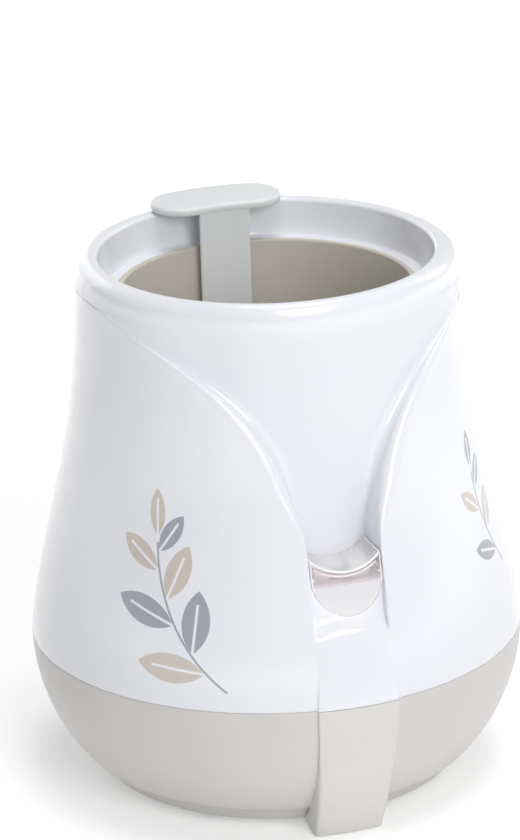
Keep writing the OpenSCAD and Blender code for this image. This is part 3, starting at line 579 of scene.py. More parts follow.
# white bell shell with its finger recess, channel, strip and mouth, in millimetres
shellSet = {
    "seamR": 69.0,
    "seamZ": 42.0,
    "rimZ": 151.0,
    "neckR": 52.2,
    "bellPower": 0.72,
    "flare": 0.8,
    "flareZ": (90.0, 140.0),
    "shoulderZ": 142.0,
    "rollHigh": 0.85,
    "rollWide": (0.85, 0.6),
    "rollRows": 28,
    "fadeOut": (0.55, 0.98),
    "crownR": 47.4,
    "mouthR": 46.2,
    "lipR": 1.2,
    "ledgeR": 44.7,
    "ledgeZ": 140.6,
    "ledgeRows": (43.6, 42.6),
    "holeR": 41.5,
    "ledgeT": 2.2,
    "channelHalf": 10.4,
    "channelDepth": 2.5,
    "slotZ": 74.4,
    "slotHalf": 8.2,
    "slotY": (55.95, 50.05),
    "floorR": 48.05,
    "floorZ": 78.4,
    "floorTopR": 51.2,
    "vStartZ": 82.2,
    "vCurveR": 61.4,
    "vSweep": 55.0,
    "archZ": 61.0,
    "archRise": 1.5,
    "archHalf": 9.7,
    "archRun": 0.7,
    "archDepth": 0.7,
    "rampRun": 3.5,
    "stripHalf": 11.65,
    "stripProud": 1.0,
    "lipRound": (0.55, 5.5),
    "heelRound": (0.4, 6.0),
    "roundZ": (84.0, 106.0),
    "leastStep": 0.15,
    "wall": 1.2,
    "columns": {"floor": 20, "round": 8, "outer": 80},
}


def bellR(z):
    s = shellSet
    t = max(part(z, (s["seamZ"], s["rimZ"])), 0.0) ** s["bellPower"]
    flare = s["flare"] * smooth(part(z, s["flareZ"]))
    return s["neckR"] + flare + (s["seamR"] - s["neckR"]) * (1 + math.cos(math.pi * t)) / 2


def coneR(z):
    s = shellSet
    return mix(s["floorR"], s["floorTopR"], part(z, (s["floorZ"], s["rimZ"])))


def edgeHalf(z):  # half width of strip, channel and recess at a height
    s = shellSet
    if z < s["archZ"]:
        strip = mix(s["stripHalf"], s["archHalf"], part(z, (s["seamZ"], s["archZ"])))
        return mix(strip, s["channelHalf"], smooth(z - s["archZ"] + 1))
    if z <= s["vStartZ"]:
        return s["channelHalf"]
    middle = s["channelHalf"] + s["vCurveR"]
    sweep = math.radians(s["vSweep"])
    top = s["vStartZ"] + s["vCurveR"] * math.sin(sweep)
    if z < top:
        return middle - s["vCurveR"] * math.cos(math.asin((z - s["vStartZ"]) / s["vCurveR"]))
    return middle - s["vCurveR"] * math.cos(sweep) + (z - top) * math.tan(sweep)


def frontR(z, x):  # radius of the strip and the channel below the slot
    s = shellSet
    top = s["archZ"] + s["archRise"]
    strip = bellR(z) + s["stripProud"] * max(1 - part(z, (s["seamZ"], top)), 0.0) ** 3
    arch = s["archZ"] + s["archRise"] * max(1 - (x / s["archHalf"]) ** 2, 0.0)
    deep = mix(s["archDepth"], s["channelDepth"], smooth((z - arch) / s["rampRun"]))
    return mix(strip, bellR(z) - deep, smooth((z - arch) / s["archRun"] + 0.5))


def halfSection(z, outR, floorAt):  # the shell's right half in the plan, from the front round to the rear
    s = shellSet
    count = s["columns"]
    edgeX = edgeHalf(z)
    grow = smooth(part(z, s["roundZ"]))
    lip, heel = mix(*s["lipRound"], grow), mix(*s["heelRound"], grow)
    edgeFloor = floorAt(min(edgeX, outR))
    turnOut = math.asin(min(edgeX / outR, 1.0))
    turnIn = math.asin(min(edgeX / edgeFloor, 1.0))
    outer, inner = ahead(outR, turnOut), ahead(edgeFloor, turnIn)
    if np.linalg.norm(outer - inner) < s["leastStep"]:
        turnIn = turnOut - s["leastStep"] / outR
        inner = ahead(edgeFloor, turnIn)
    step = np.linalg.norm(outer - inner)
    heel = min(heel, 0.5 * turnIn * edgeFloor)
    wallLip = outer + (inner - outer) * min(lip / step, 0.48)  # the two rounds never meet
    wallHeel = inner + (outer - inner) * min(heel / step, 0.48)
    startOut, endIn = turnOut + lip / outR, turnIn - heel / edgeFloor
    swings = [endIn * i / (count["floor"] - 1) for i in range(count["floor"])]
    points = [ahead(floorAt(edgeFloor * math.sin(a)), a) for a in swings]
    last, first = points[-1], ahead(outR, startOut)
    steps = [i / count["round"] for i in range(count["round"] + 1)]
    points += [bendAt(last, inner, wallHeel, t) for t in steps[1:]]
    points += [bendAt(wallLip, outer, first, t) for t in steps[:-1]]
    for i in range(count["outer"]):
        points.append(ahead(outR, mix(startOut, math.pi, i / (count["outer"] - 1))))
    return points


def shellRows():
    s = shellSet
    seam, slot, start, shoulder, rim = (s[name + "Z"] for name in ("seam", "slot", "vStart", "shoulder", "rim"))
    archLow, archTop = s["archZ"], s["archZ"] + s["archRise"]
    rows = []  # each row: height, half section

    def low(z, inset=0.0):
        rows.append((z, halfSection(z, bellR(z) - inset, lambda x: frontR(z, x) - inset)))

    def high(z, r, floor):  # the recess floor comes out to the crown towards its two ends
        rows.append((z, halfSection(z, r, lambda x: mix(floor, r, smooth(part(x / r, s["fadeOut"]))))))

    def ledge(z, r):  # the ledge below the lever
        rows.append((z, halfSection(z, bellR(z), lambda x: r)))

    def slotEdge(y):  # straight edge of the slot across the ledge
        section = halfSection(slot, bellR(slot), lambda x: math.hypot(x, y))
        cut = list(np.linspace(0, s["slotHalf"], s["columns"]["floor"] - 2))
        cut.append(mix(s["slotHalf"], section[len(cut) + 1][0], 0.5))
        section[: len(cut)] = [np.array((x, -y)) for x in cut]
        rows.append((slot, section))

    for rise, inset in ((0, 1.5), (0, 0.25), (0.08, 0.07), (0.25, 0)):
        low(seam + rise, inset)
    lowSpans = [(seam + 0.8, archLow - 1.5, 1.25), (archLow - 1.0, archTop + 1.0, 0.15)]
    lowSpans += [(archTop + 1.3, slot - 0.6, 0.8)]
    for z in np.concatenate([np.arange(*span) for span in lowSpans]):
        low(z)
    channel = bellR(slot) - s["channelDepth"]
    for drop, inset in ((0.4, 0.0), (0.12, 0.12), (0.0, 0.4)):
        ledge(slot - drop, channel - inset)
    slotRow = len(rows)
    for y in s["slotY"]:
        slotEdge(y)
    for rise, gap in ((0.0, 0.4), (0.12, 0.12)):
        ledge(slot + rise, coneR(slot) + gap)
    highSpans = ((slot + 0.4, start - 1, 1.1), (start - 0.9, start + 4, 0.6), (start + 4.2, shoulder, 1.15))
    for z in np.concatenate([np.arange(*span) for span in highSpans]):
        high(z, bellR(z), coneR(z))

    def roll(neck, wide, t):
        edge = mix(s["crownR"], neck, wide)
        fullZ = mix(shoulder, rim, s["rollHigh"])
        return bezierPoint(((neck, shoulder), (neck, fullZ), (edge, rim), (s["crownR"], rim)), t)

    for i in range(s["rollRows"] + 1):
        t = i / s["rollRows"]
        r, z = roll(bellR(shoulder), s["rollWide"][0], t)
        high(z, r, roll(coneR(shoulder), s["rollWide"][1], t)[0])
    turns = [math.atan2(p[0], -p[1]) for p in rows[-1][1]]
    lipEnd, ledgeZ = rim - s["lipR"], s["ledgeZ"]
    inside = [(s["crownR"] - s["lipR"] * math.sin(a), lipEnd + s["lipR"] * math.cos(a)) for a in quarter(7)[1:]]
    inside += [(mix(s["mouthR"], s["ledgeR"], i / 8), mix(lipEnd, ledgeZ, i / 8)) for i in range(1, 8)]
    inside += [(s["ledgeR"] + r, ledgeZ + z) for r, z in ((0.02, 0.5), (-0.15, 0.15), (-0.6, 0.0))]
    inside += [(r, ledgeZ) for r in (*s["ledgeRows"], s["holeR"] + 0.3)]
    inside += [(s["holeR"], ledgeZ - drop) for drop in (0.3, s["ledgeT"])]
    rows += [(z, [ahead(r, a) for a in turns]) for r, z in inside]
    return rows, slotRow


def upperShell():
    s = shellSet
    rows, slotRow = shellRows()
    wide = 2 * len(rows[0][1]) - 2  # both halves share the front and rear columns
    points = []
    for z, section in rows:
        points += [(x, y, z) for x, y in section]
        points += [(-x, y, z) for x, y in reversed(section[1:-1])]
    slotColumns = s["columns"]["floor"] - 3
    faces = []
    for n, face in enumerate(bands(len(rows), wide)):
        j, i = divmod(n, wide)
        if j != slotRow or slotColumns <= i < wide - slotColumns:  # the lever's slide passes through the slot
            faces.append(face)
    piece = newPiece("upperShell", points, faces, "white_gloss", 50.0)
    mesh = piece.data
    layer = mesh.uv_layers.new(name="bellMap")
    for polygon in mesh.polygons:
        right = polygon.center.x >= 0
        for loop in polygon.loop_indices:
            x, y, z = mesh.vertices[mesh.loops[loop].vertex_index].co
            turn = math.atan2(x, -y)
            if not right and turn > math.pi / 2:
                turn -= 2 * math.pi
            if right and turn < -math.pi / 2:
                turn += 2 * math.pi
            layer.data[loop].uv = (turn * printSet["bellR"] * printSet["unit"], z / mm * printSet["unit"])
    probe = mesh.polygons[len(rows) * wide // 3]
    if probe.normal.dot(probe.center) < 0:
        mesh.flip_normals()
    mergePoints(mesh, 0.5e-6)
    thicken(piece, s["wall"])
    setInPlace(piece, "housing", "white_gloss", "upper_shell")


upperShell()


# warm grey skirt, drawn by a rule: an arc below the seam, turned about the axis
skirtSet = {
    "Seam Radius": 69.0 * mm,
    "Curve Radius": 51.4 * mm,
    "Seam Height": 41.95 * mm,
    "Lower Height": 7.4 * mm,
    "Sides": 200,
    "Rings": 40,
}
skirtEdge = {"wall": 2.2, "bend": 0.35, "steps": 3, "angle": 45}


def closeTree(tree, geometry, sink, slot):
    real = addNode(tree, "GeometryNodeRealizeInstances", {0: geometry}).outputs[0]
    paint = addNode(tree, "GeometryNodeSetMaterial", {"Geometry": real, "Material": finishes[slot]})
    tree.links.new(paint.outputs[0], sink["Geometry"])
    return tree


def growPiece(name, seed, tree, sockets):
    modifier = seed.modifiers.new("grow", "NODES")
    modifier.node_group = tree
    for item in tree.interface.items_tree:
        if item.in_out == "INPUT" and item.name in sockets:
            modifier[item.identifier] = sockets[item.name]
    mesh = evaluated(seed)
    seed.modifiers.remove(modifier)
    bpy.data.objects.remove(seed)
    mesh.name = name
    shade(mesh)
    return showPiece(name, mesh)


def skirtTree():
    sockets = {"Geometry": "seed", **skirtSet}
    tree, source, sink = newTree("GeometryNodeTree", "skirtByRule", sockets, {"Geometry": "skirt"})
    plus, minus, times = sums(tree)
    feeds = {"Size X": 1, "Size Y": 1, "Vertices X": source["Sides"], "Vertices Y": source["Rings"]}
    grid = addNode(tree, "GeometryNodeMeshGrid", feeds).outputs["Mesh"]
    place = addNode(tree, "GeometryNodeInputPosition").outputs[0]
    split = addNode(tree, "ShaderNodeSeparateXYZ", {0: place}).outputs
    turn, share = times(split["X"], 2 * math.pi), plus(split["Y"], 0.5)
    seam, lowest, curve = source["Seam Height"], source["Lower Height"], source["Curve Radius"]
    height = plus(lowest, times(minus(seam, lowest), share))
    drop = minus(seam, height)
    chord = mathNode(tree, "SQRT", minus(times(curve, curve), times(drop, drop)))
    radius = plus(minus(source["Seam Radius"], curve), chord)
    x, y = (times(radius, mathNode(tree, way, turn)) for way in ("COSINE", "SINE"))
    joined = addNode(tree, "ShaderNodeCombineXYZ", {"X": x, "Y": y, "Z": height}).outputs[0]
    moved = addNode(tree, "GeometryNodeSetPosition", {"Geometry": grid, "Position": joined}).outputs[0]
    weld = addNode(tree, "GeometryNodeMergeByDistance", {"Geometry": moved, "Distance": 0.01 * mm})
    return closeTree(tree, weld.outputs[0], sink, "warm_grey")


def skirt():
    seed = showPiece("skirtSeed", bpy.data.meshes.new("skirtSeed"))
    piece = growPiece("baseShell", seed, skirtTree(), skirtSet)
    with editing(piece.data) as work:
        bmesh.ops.recalc_face_normals(work, faces=work.faces)
        side = next(iter(work.faces))
        centre = side.calc_center_median()
        if side.normal.x * centre.x + side.normal.y * centre.y < 0:
            bmesh.ops.reverse_faces(work, faces=work.faces)
    thicken(piece, skirtEdge["wall"])
    soft = piece.modifiers.new("softEdges", "BEVEL")
    soft.width = skirtEdge["bend"] * mm
    soft.segments = skirtEdge["steps"]
    soft.limit_method = "ANGLE"
    soft.angle_limit = math.radians(skirtEdge["angle"])
    setInPlace(piece, "housing", "warm_grey", "base_shell")


skirt()


# front foot below the strip
footSet = {
    "seamZ": 42.0,
    "topZ": 41.93,
    "topHalf": 11.65,
    "lowHalf": 9.75,
    "lowR": 59.0,
    "topR": 70.0,
    "bulge": 2.2,
    "land": 3.0,
    "plateR": 50.33,
    "plateZ": 2.0,
    "skirtZ": 7.4,
    "gap": 0.12,
    "round": 1.3,
    "roundSteps": 6,
    "soleRows": [(0.0, 0.4), (0.12, 0.12), (0.4, 0.0), (1.0, 0.0)],  # height and inset
    "rows": 40,
    "columns": 15,
}


def skirtR(z):
    seam, curve = skirtSet["Seam Radius"] / mm, skirtSet["Curve Radius"] / mm
    return seam - curve + math.sqrt(curve**2 - (footSet["seamZ"] - z) ** 2)


def frontFoot():
    f = footSet
    steps = f["roundSteps"]
    levels = []
    for z, inset in f["soleRows"] + [(mix(f["plateZ"], f["topZ"], i / f["rows"]), 0.0) for i in range(f["rows"] + 1)]:
        t = z / f["seamZ"]
        front = mix(f["lowR"], f["topR"], t) + 4 * f["bulge"] * t * (1 - t) - inset
        half = mix(f["lowHalf"], f["topHalf"], t) - inset
        if z >= f["skirtZ"]:
            back = skirtR(z) + f["gap"]
        elif z >= f["plateZ"]:
            back = mix(f["plateR"], skirtR(f["skirtZ"]) + f["gap"], part(z, (f["plateZ"], f["skirtZ"])))
        else:
            back = mix(f["lowR"] - f["land"], f["plateR"], z / f["plateZ"])
        corner = np.array((half, -math.sqrt(front**2 - half**2)))
        bend = min(f["round"], 0.45 * (-corner[1] - math.sqrt(back**2 - half**2)))
        frontTurn, backTurn = math.asin((half - bend) / front), math.asin(half / back)
        face = [ahead(front, a) for a in np.linspace(-frontTurn, frontTurn, f["columns"])]
        rear = [ahead(back, a) for a in np.linspace(backTurn, -backTurn, f["columns"])]
        side = corner + np.array((0, bend))
        ends = [bendAt(face[-1], corner, side, i / steps) for i in range(1, steps + 1)]
        levels.append((z, face + ends + rear + [(-x, y) for x, y in reversed(ends)]))
    piece = prism("frontFoot", levels, "foot_grey", 40.0)
    setInPlace(piece, "housing", "foot_grey", "front_foot")


frontFoot()


# cream well inside the mouth
wellSet = {
    "topR": 39.8,
    "lowR": 38.4,
    "wall": 1.6,
    "beadZ": 141.0,
    "floorZ": 56.0,
    "floorT": 4.0,
    "holeR": 30.0,
    "bend": 0.7,
}


def wellCup():
    w = wellSet
    under = w["floorZ"] - w["floorT"]
    profile = [
        (w["topR"], w["beadZ"]),
        (w["lowR"], w["floorZ"]),
        (w["holeR"], w["floorZ"]),
        (w["holeR"], under),
        (w["lowR"] + w["wall"], under),
        (w["topR"] + w["wall"], w["beadZ"]),
    ]
    piece = lathe("wellCup", rounded(profile, w["bend"]), "well_cream")
    setInPlace(piece, "housing", "well_cream", "well_cup")


wellCup()


# gland where the mains cord leaves, at the rear, and the seat that it stands in
glandSet = {
    "boreR": 3.6,
    "sleeveR": 5.6,
    "flangeR": 7.6,
    "flangeT": 2.0,
    "faceY": 66.35,
    "innerY": 56.35,
    "z": 22.0,
    "bend": 0.6,
    "seatR": 8.6,
    "seatY": 61.0,
    "seatGap": 0.1,
    "seatBend": 0.4,
    "sides": 72,
}


def cordGland():
    g = glandSet
    place = Matrix.Translation((0, 0, g["z"])) @ Matrix.Rotation(-math.pi / 2, 4, "X")
    face, outer, loose = g["faceY"], g["faceY"] + g["flangeT"], g["sleeveR"] + g["seatGap"]
    profile = [
        (g["boreR"], g["innerY"]),
        (g["sleeveR"], g["innerY"]),
        (g["sleeveR"], face),
        (g["flangeR"], face),
        (g["flangeR"], outer),
        (g["boreR"], outer),
    ]
    piece = lathe("cordGland", rounded(profile, g["bend"]), "gland_grey", g["sides"], place)
    setInPlace(piece, "housing", "gland_grey", "cord_gland")
    profile = [(loose, g["seatY"]), (g["seatR"], g["seatY"]), (g["seatR"], face), (loose, face)]
    seat = lathe("glandSeat", rounded(profile, g["seatBend"]), "warm_grey", g["sides"], place)
    setInPlace(seat, "housing", "warm_grey")


cordGland()


# what repeats round the axis: rubber feet and base screws
padSet = {"Count": 4, "Radius": 41.03 * mm, "Turn": 0.0}
padShape = {"r": 5.0, "edge": 0.5, "high": 3.2, "bend": 0.3, "sides": 48}
screwSet = {"Count": 4, "Radius": 46.0 * mm, "Turn": math.pi / 4}
screwShape = {
    "profile": [(0.0, 3.6), (1.6, 3.6), (2.3, 3.95), (2.6, 4.5), (2.6, 5.2), (1.3, 5.2), (1.3, 18.2), (0.0, 18.2)],
    "cross": (1.5, 0.32),
    "crossZ": (2.8, 4.4),
    "sides": 40,
}


def ringTree(name, sockets, slot):
    sockets = {"Geometry": "seed", **sockets}
    tree, source, sink = newTree("GeometryNodeTree", name, sockets, {"Geometry": "ring"})
    feeds = {"Vertices": source["Count"], "Radius": source["Radius"]}
    circle = addNode(tree, "GeometryNodeMeshCircle", feeds).outputs["Mesh"]
    spin = addNode(tree, "ShaderNodeCombineXYZ", {"Z": source["Turn"]}).outputs[0]
    turned = addNode(tree, "GeometryNodeTransform", {"Geometry": circle, "Rotation": spin}).outputs[0]
    feeds = {"Points": turned, "Instance": source["Geometry"]}
    spots = addNode(tree, "GeometryNodeInstanceOnPoints", feeds).outputs[0]
    return closeTree(tree, spots, sink, slot)


def rubberFeet():
    p = padShape
    profile = [(0.0, 0.0), (p["r"] - p["edge"], 0.0), (p["r"], p["edge"]), (p["r"], p["high"]), (0.0, p["high"])]
    outside = rounded(profile, p["bend"])[5:-5]  # the two ends on the axis stay sharp
    seed = lathe("padSeed", [profile[0]] + outside + [profile[-1]], "rubber_grey", p["sides"])
    piece = growPiece("rubberFeet", seed, ringTree("ringOfPads", padSet, "rubber_grey"), padSet)
    setInPlace(piece, "housing", "rubber_grey", "rubber_feet")


def baseScrews():
    seed = lathe("screwSeed", screwShape["profile"], "steel", screwShape["sides"])
    far, near = screwShape["cross"]
    loop = []
    for c, s in ((1, 0), (0, 1), (-1, 0), (0, -1)):
        loop += [(x * c - y * s, x * s + y * c) for x, y in ((far, -near), (far, near), (near, near))]
    combine(seed, [prism("cross", [(z, loop) for z in screwShape["crossZ"]], "steel")], "DIFFERENCE")
    piece = growPiece("baseScrews", seed, ringTree("ringOfScrews", screwSet, "steel"), screwSet)
    setInPlace(piece, "housing", "steel", "base_screws")


rubberFeet()
baseScrews()


# clear lever, swept across its width: round tab, finger scoop and two cheeks
leverSet = {
    "half": 10.1,
    "sunk": 0.3,
    "wall": 1.6,
    "tipWall": 0.8,
    "taper": 6.0,
    "scoopZ": 78.4,
    "scoopRise": 3.8,
    "drop": 12.1,
    "rearGap": 0.3,
    "cheek": 1.3,
    "cheekZ": 76.7,
    "bend": 0.45,
    "steps": 4,
    "fronts": 7,
    "tabZ": 74.9,
    "tabRows": 5,
    "columns": 44,
    "cheekStep": (0.02, 0.12),  # width of the step, and how far the next columns keep from it
}


def leverColumn(x, inset):  # rounded section at one place across, as radius and height
    v = leverSet
    scoopR = (v["half"] ** 2 + v["scoopRise"] ** 2) / (2 * v["scoopRise"])
    middle = v["scoopZ"] + scoopR
    top = middle - math.sqrt(scoopR**2 - x**2) - inset
    under = middle - math.sqrt((scoopR + v["wall"]) ** 2 - x**2)
    if abs(x) > v["half"] - v["cheek"]:
        under = v["cheekZ"]
    under += inset
    tip = v["scoopZ"] - v["drop"]
    tabZ = tip + v["half"] - math.sqrt(max(v["half"] ** 2 - x**2, 0.0))
    low = min(tabZ + inset, under - 0.1)

    def front(z):
        return bellR(z) - v["sunk"] - inset

    def back(z):
        wall = mix(v["tipWall"], v["wall"], smooth((z - tip) / v["taper"]))
        return bellR(z) - v["sunk"] - wall + inset

    def rear(z):
        return coneR(z) + v["rearGap"] + inset

    sides = ((front, low), (front, top), (rear, top), (rear, under), (back, under), (back, low))
    turned = rounded([(side(z), z) for side, z in sides], v["bend"], v["steps"])
    size = v["steps"] + 1
    section = []
    for i in range(len(sides)):
        section += turned[i * size : (i + 1) * size]
        if i not in (0, 4):
            continue
        z0, z1 = turned[(i + 1) * size - 1][1], turned[(i + 1) * size][1]
        heights = [mix(z0, z1, j / v["fronts"]) for j in range(1, v["fronts"])]
        if i == 0:  # the rows meet on the straight line above the tab, where the tab's painted shade begins
            line = min(max(v["tabZ"], mix(z0, z1, 0.1)), mix(z0, z1, 0.9))
            above = v["fronts"] - v["tabRows"]
            heights = [mix(z0, line, j / v["tabRows"]) for j in range(1, v["tabRows"] + 1)]
            heights += [mix(line, z1, j / above) for j in range(1, above)]
        section += [(sides[i][0](z), z) for z in heights]
    return section


def startLever():
    v = leverSet
    stop = v["half"] - v["bend"]
    step = v["half"] - v["cheek"]
    wide, clear = v["cheekStep"]
    across = [stop * math.sin(a) for a in np.linspace(-math.pi / 2, math.pi / 2, v["columns"])]
    across = [x for x in across if abs(abs(x) - step) > clear] + [-step - wide, -step, step, step + wide]
    cap = [(stop + v["bend"] * math.sin(a), v["bend"] * (1 - math.cos(a))) for a in quarter(4)[1:]]
    spots = [(-x, inset) for x, inset in reversed(cap)] + [(x, 0.0) for x in sorted(across)] + cap
    points, looks = [], []
    for x, inset in spots:
        section = leverColumn(x, inset)
        points += [(x, -math.sqrt(r**2 - x**2), z) for r, z in section]
    size = len(section)
    scoopEdge = v["steps"] + v["fronts"]  # first strip of the rounded front edge of the scoop
    scoopTop = scoopEdge + v["steps"]
    innerEdge = scoopTop + 2 * v["steps"] + 3
    for n in range((len(spots) - 1) * size):
        i, j = divmod(n, size)
        rim = spots[i][1] > 0 or spots[i + 1][1] > 0
        edge = scoopEdge <= j < scoopTop or innerEdge <= j < innerEdge + v["steps"]
        tab = v["steps"] <= j < v["steps"] + v["tabRows"]
        # index 1 puts painted light on the scoop's top, 2 a painted highlight on the rounded edges and side caps, 3
        # painted shade on the tab
        looks.append(2 if edge or rim else 1 if j == scoopTop else 3 if tab else 0)
    faces = bands(len(spots), size) + caps(len(spots), size)
    piece = newPiece("startLever", points, faces, "lever_clear", 50.0)
    for look in leverLooks:
        piece.data.materials.append(look)
    piece.data.polygons.foreach_set("material_index", looks + [0, 0])
    faceOutwards(piece.data)
    setInPlace(piece, "lever", "lever_clear", "start_lever")


startLever()


# lift-out basket: vented floor, ring, two legs, strap, hook and grip
lifterSet = {
    "floorZ": 56.3,
    "wall": 1.6,
    "outR": 37.6,
    "floorBend": 0.5,
    "sides": 128,
    "inset": 0.2,
    "ringH": 40.0,
    "ringT": 4.0,
    "ringBend": 0.45,
    "ventR": 7.0,
    "ventAt": 22.0,
    "ventCount": 6,
    "ventSides": 48,
    "legs": (210.0, 330.0),
    "legHalf": 7.0,
    "strapAt": 90.0,
    "hookR": 54.4,
    "hookZ": 147.0,
    "hookT": 0.9,
    "gripZ": 151.3,
    "gripT": 2.3,
    "gripHalf": 12.52,
    "gripBend": (0.6, 0.9),
    "gripSteps": {"side": 15, "end": 18, "bend": 5},
    "bandBend": 0.4,
    "bandSteps": {"across": 12, "up": 6, "bend": 4},
}


def bandPiece(inR, outR, middle, half, lowZ, highZ):  # upright band round the axis with soft corners
    bend, steps = lifterSet["bandBend"], lifterSet["bandSteps"]
    meanR = (inR + outR) / 2
    wide = math.radians(half) * meanR
    size = steps["bend"] + 1

    def loop(inset):
        u, low, high = wide - inset, inR + inset, outR - inset
        turned = rounded([(-u, low), (u, low), (u, high), (-u, high)], bend, steps["bend"])
        plan = []
        for i in range(4):
            plan += turned[i * size : (i + 1) * size]
            start, end = turned[(i + 1) * size - 1], turned[((i + 1) % 4) * size]
            if i in (0, 2):
                shares = [j / steps["across"] for j in range(1, steps["across"])]
                plan += [tuple(mix(a, b, t) for a, b in zip(start, end)) for t in shares]
        return [around(r, math.radians(middle) + u / meanR) for u, r in plan]

    arc = quarter(steps["bend"])
    levels = [(lowZ + bend * (1 - math.sin(a)), loop(bend * (1 - math.cos(a)))) for a in reversed(arc)]
    rises = [i / steps["up"] for i in range(1, steps["up"] + 1)]
    levels += [(mix(lowZ + bend, highZ, t), loop(0.0)) for t in rises]
    return prism("band", levels, "lifter_frost")


def gripPiece():
    v = lifterSet
    steps = v["gripSteps"]
    inR, outR = v["outR"] - v["wall"], v["hookR"]
    middleR, capR = (inR + outR) / 2, (outR - inR) / 2
    half, middle = math.radians(v["gripHalf"]), math.radians(v["strapAt"])

    def loop(inset):
        plan = []
        for side in (1, -1):
            r = outR - inset if side > 0 else inR + inset
            plan += [around(r, a * side + middle) for a in np.linspace(-half, half, steps["side"])]
            end = middle + half * side
            cx, cy = around(middleR, end)
            start = end if side > 0 else end + math.pi
            for i in range(1, steps["end"]):
                x, y = around(capR - inset, start + math.pi * i / steps["end"])
                plan.append((cx + x, cy + y))
        return plan

    low, high = v["gripBend"]
    arc = quarter(steps["bend"])
    z0, z1 = v["gripZ"], v["gripZ"] + v["gripT"]
    levels = [(z0 + low * (1 - math.sin(a)), loop(low * (1 - math.cos(a)))) for a in reversed(arc)]
    levels += [(z1 - high * (1 - math.sin(a)), loop(high * (1 - math.cos(a)))) for a in arc]
    return prism("grip", levels, "lifter_frost")


def lifterBasket():
    v = lifterSet
    slot, vent = "lifter_frost", v["ventR"]
    inR, outR, z0, z1 = v["outR"] - v["wall"], v["outR"], v["floorZ"], v["floorZ"] + v["wall"]
    flat = rounded([(0.0, z0), (outR, z0), (outR, z1), (0.0, z1)], v["floorBend"])[5:-5]
    piece = lathe("lifterBasket", flat + [(0.0, z1), (0.0, z0)], slot, v["sides"])
    turns = [2 * math.pi * i / v["ventCount"] for i in range(v["ventCount"])]
    wide = vent + 0.5  # the vents' chamfers pass beyond both faces of the floor
    hole = [(0.0, z0 - 2), (wide, z0 - 2), (wide, z0 - 0.1), (vent, z0 + 0.4)]
    hole += [(vent, z1 - 0.4), (wide, z1 + 0.1), (wide, z1 + 2), (0.0, z1 + 2)]
    holes = []
    for x, y in [(0.0, 0.0)] + [around(v["ventAt"], a) for a in turns]:
        holes.append(lathe("vent", hole, slot, v["ventSides"], Matrix.Translation((x, y, 0))))
    combine(piece, holes, "DIFFERENCE")
    ringTop = z0 + v["ringH"]
    ringLow = ringTop - v["ringT"]
    ring = rounded([(inR, ringLow), (outR, ringLow), (outR, ringTop), (inR, ringTop)], v["ringBend"])
    parts = [lathe("ring", ring, slot, v["sides"])]
    bandIn, bandOut, sunk = inR + v["inset"], outR - v["inset"], z0 + v["wall"] / 2
    for turn in v["legs"]:
        parts.append(bandPiece(bandIn, bandOut, turn, v["legHalf"], sunk, ringLow + v["ringT"] / 2))
    gripMiddle = v["gripZ"] + v["gripT"] / 2
    hookOut = v["hookR"] - v["inset"]
    for inner, outer, low in ((bandIn, bandOut, sunk), (hookOut - v["hookT"], hookOut, v["hookZ"])):
        parts.append(bandPiece(inner, outer, v["strapAt"], v["gripHalf"] - 1, low, gripMiddle))
    parts.append(gripPiece())
    combine(piece, parts, "UNION")
    mesh = piece.data
    mesh.materials.clear()
    mesh.materials.append(finishes[slot])
    mesh.polygons.foreach_set("material_index", [0] * len(mesh.polygons))
    shade(mesh)
    setInPlace(piece, "lifter", slot, "lifter_basket")


lifterBasket()


# slide and spring below the lever: the solids' own shapes
slideSet = {"pegX": 5.55, "pegY": -53.0, "boreR": 1.45}


def nodeCopy(node, name, body):
    mesh = nodes[node].data.copy()
    mesh.name = name
    mergePoints(mesh, 2e-6)
    mesh.materials.clear()
    mesh.materials.append(finishes[slots[node]])
    shade(mesh, 30.0)
    piece = showPiece(name, mesh)
    setInPlace(piece, body, slots[node], node)
    return piece


def leverSlide():  # the lever's pegs fill the slide's bores
    v = slideSet
    piece = nodeCopy("lever_slide", "leverSlide", "lever")
    bores = [(side * v["pegX"] * mm, v["pegY"] * mm) for side in (-1, 1)]

    def inBore(face, x, y):
        return all(math.hypot(p.co.x - x, p.co.y - y) < v["boreR"] * mm for p in face.verts)

    with editing(piece.data) as work:
        walls = [face for face in work.faces if any(inBore(face, *bore) for bore in bores)]
        bmesh.ops.delete(work, geom=walls, context="FACES")
        bmesh.ops.holes_fill(work, edges=[edge for edge in work.edges if edge.is_boundary], sides=0)
        bmesh.ops.recalc_face_normals(work, faces=work.faces)


def returnSpring():  # the solid's own spring, on a mesh of its own
    piece = nodeCopy("return_spring", "returnSpring", "housing")
    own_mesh(piece)


leverSlide()
returnSpring()


# plain floor and soft studio light
studioSet = {
    "worldStrength": 0.28,
    "floorHalf": 4,
    "floorSunk": 0.0002,
    "floorTone": 0.9,
    "floorGlow": 0.22,
    "floorFade": (0.15, 0.9),
    "floorBounce": 0.1,
    "aim": (0, 0, 0.09),
    "lamps": [  # name, place, width and watts
        ("keyPanel", (0.14, -1.6, 0.85), 1.0, 13.3),
        ("topPanel", (0.2, -0.05, 1.7), 1.0, 11.5),
        ("leftPanel", (-0.4, 1.55, 0.5), 1.5, 4.8),
        ("rightPanel", (1.4, 0.3, 0.6), 0.8, 1.8),
    ],
}


def raySeen(tree):  # camera, glossy and transmission rays
    path = addNode(tree, "ShaderNodeLightPath").outputs
    first = mathNode(tree, "MAXIMUM", path["Is Camera Ray"], path["Is Glossy Ray"])
    return mathNode(tree, "MAXIMUM", first, path["Is Transmission Ray"])


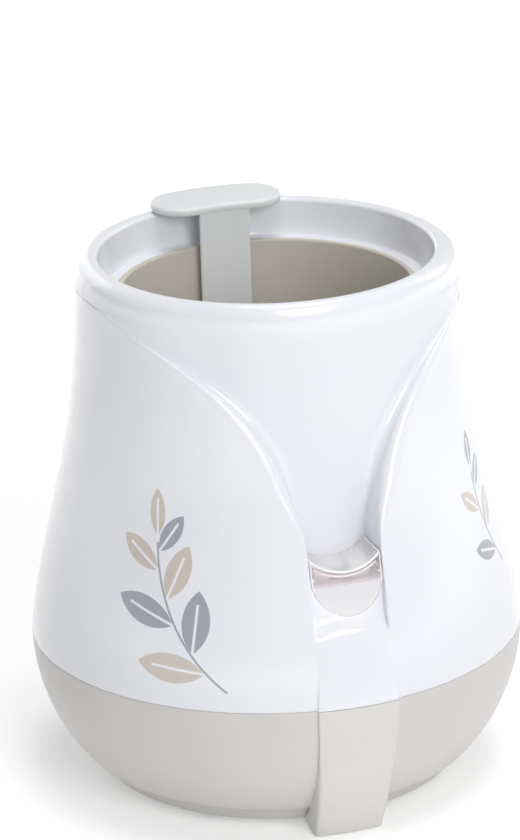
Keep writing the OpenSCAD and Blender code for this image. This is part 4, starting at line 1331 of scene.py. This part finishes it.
def paleFloor(s):
    material, tree, shader = newMaterial("paleFloor", Roughness=0.9, Specular_IOR_Level=0.0)
    grain = useGroup(tree, "grain", Grain_Scale=60.0, Drift_Scale=2.0)
    drift = spread(tree, grain["Drift"], 0.0, 1.0)
    tones = [(pale, pale, pale, 1) for pale in (s["floorTone"], s["floorTone"] * 0.99)]
    tree.links.new(blendColours(tree, drift, *tones), shader["Base Color"])
    away = addNode(tree, "ShaderNodeVectorMath", {0: objectPlace(tree)}, operation="LENGTH").outputs["Value"]
    near, far = s["floorFade"]
    feeds = {"Value": away, "From Min": near, "From Max": far, "To Min": s["floorGlow"], "To Max": 1.0}
    fade = addNode(tree, "ShaderNodeMapRange", feeds, interpolation_type="SMOOTHSTEP").outputs["Result"]
    seen = mathNode(tree, "MULTIPLY", raySeen(tree), fade)
    glow = addNode(tree, "ShaderNodeEmission", {"Strength": mathNode(tree, "ADD", seen, s["floorBounce"])})
    feeds = {0: tree.nodes["Principled BSDF"].outputs[0], 1: glow.outputs[0]}
    both = addNode(tree, "ShaderNodeAddShader", feeds).outputs[0]
    tree.links.new(both, tree.nodes["Material Output"].inputs["Surface"])
    return material


def studio(s):
    world = bpy.data.worlds.new("studioWorld")
    scene.world = world
    world.use_nodes = True
    tree = world.node_tree
    base = tree.nodes["Background"]
    base.inputs["Color"].default_value = (1, 1, 1, 1)
    base.inputs["Strength"].default_value = s["worldStrength"]
    white = addNode(tree, "ShaderNodeBackground", {"Strength": 1.0})
    feeds = {0: raySeen(tree), 1: base.outputs[0], 2: white.outputs[0]}
    mixer = addNode(tree, "ShaderNodeMixShader", feeds)
    tree.links.new(mixer.outputs[0], tree.nodes["World Output"].inputs["Surface"])
    for name, spot, size, power in s["lamps"]:
        data = bpy.data.lights.new(name, "AREA")
        data.shape = "DISK"
        data.size = size
        data.energy = power
        lamp = bpy.data.objects.new(name, data)
        lamp.location = spot
        lamp.rotation_euler = (Vector(s["aim"]) - Vector(spot)).to_track_quat("-Z", "Y").to_euler()
        scene.collection.objects.link(lamp)
    h = s["floorHalf"]
    mesh = bpy.data.meshes.new("floor")
    mesh.from_pydata([(-h, -h, 0), (h, -h, 0), (h, h, 0), (-h, h, 0)], [], [(0, 1, 2, 3)])
    mesh.materials.append(paleFloor(s))
    floor = showPiece("floor", mesh)
    floor.location.z = -s["floorSunk"]


studio(studioSet)
print("studio lit")
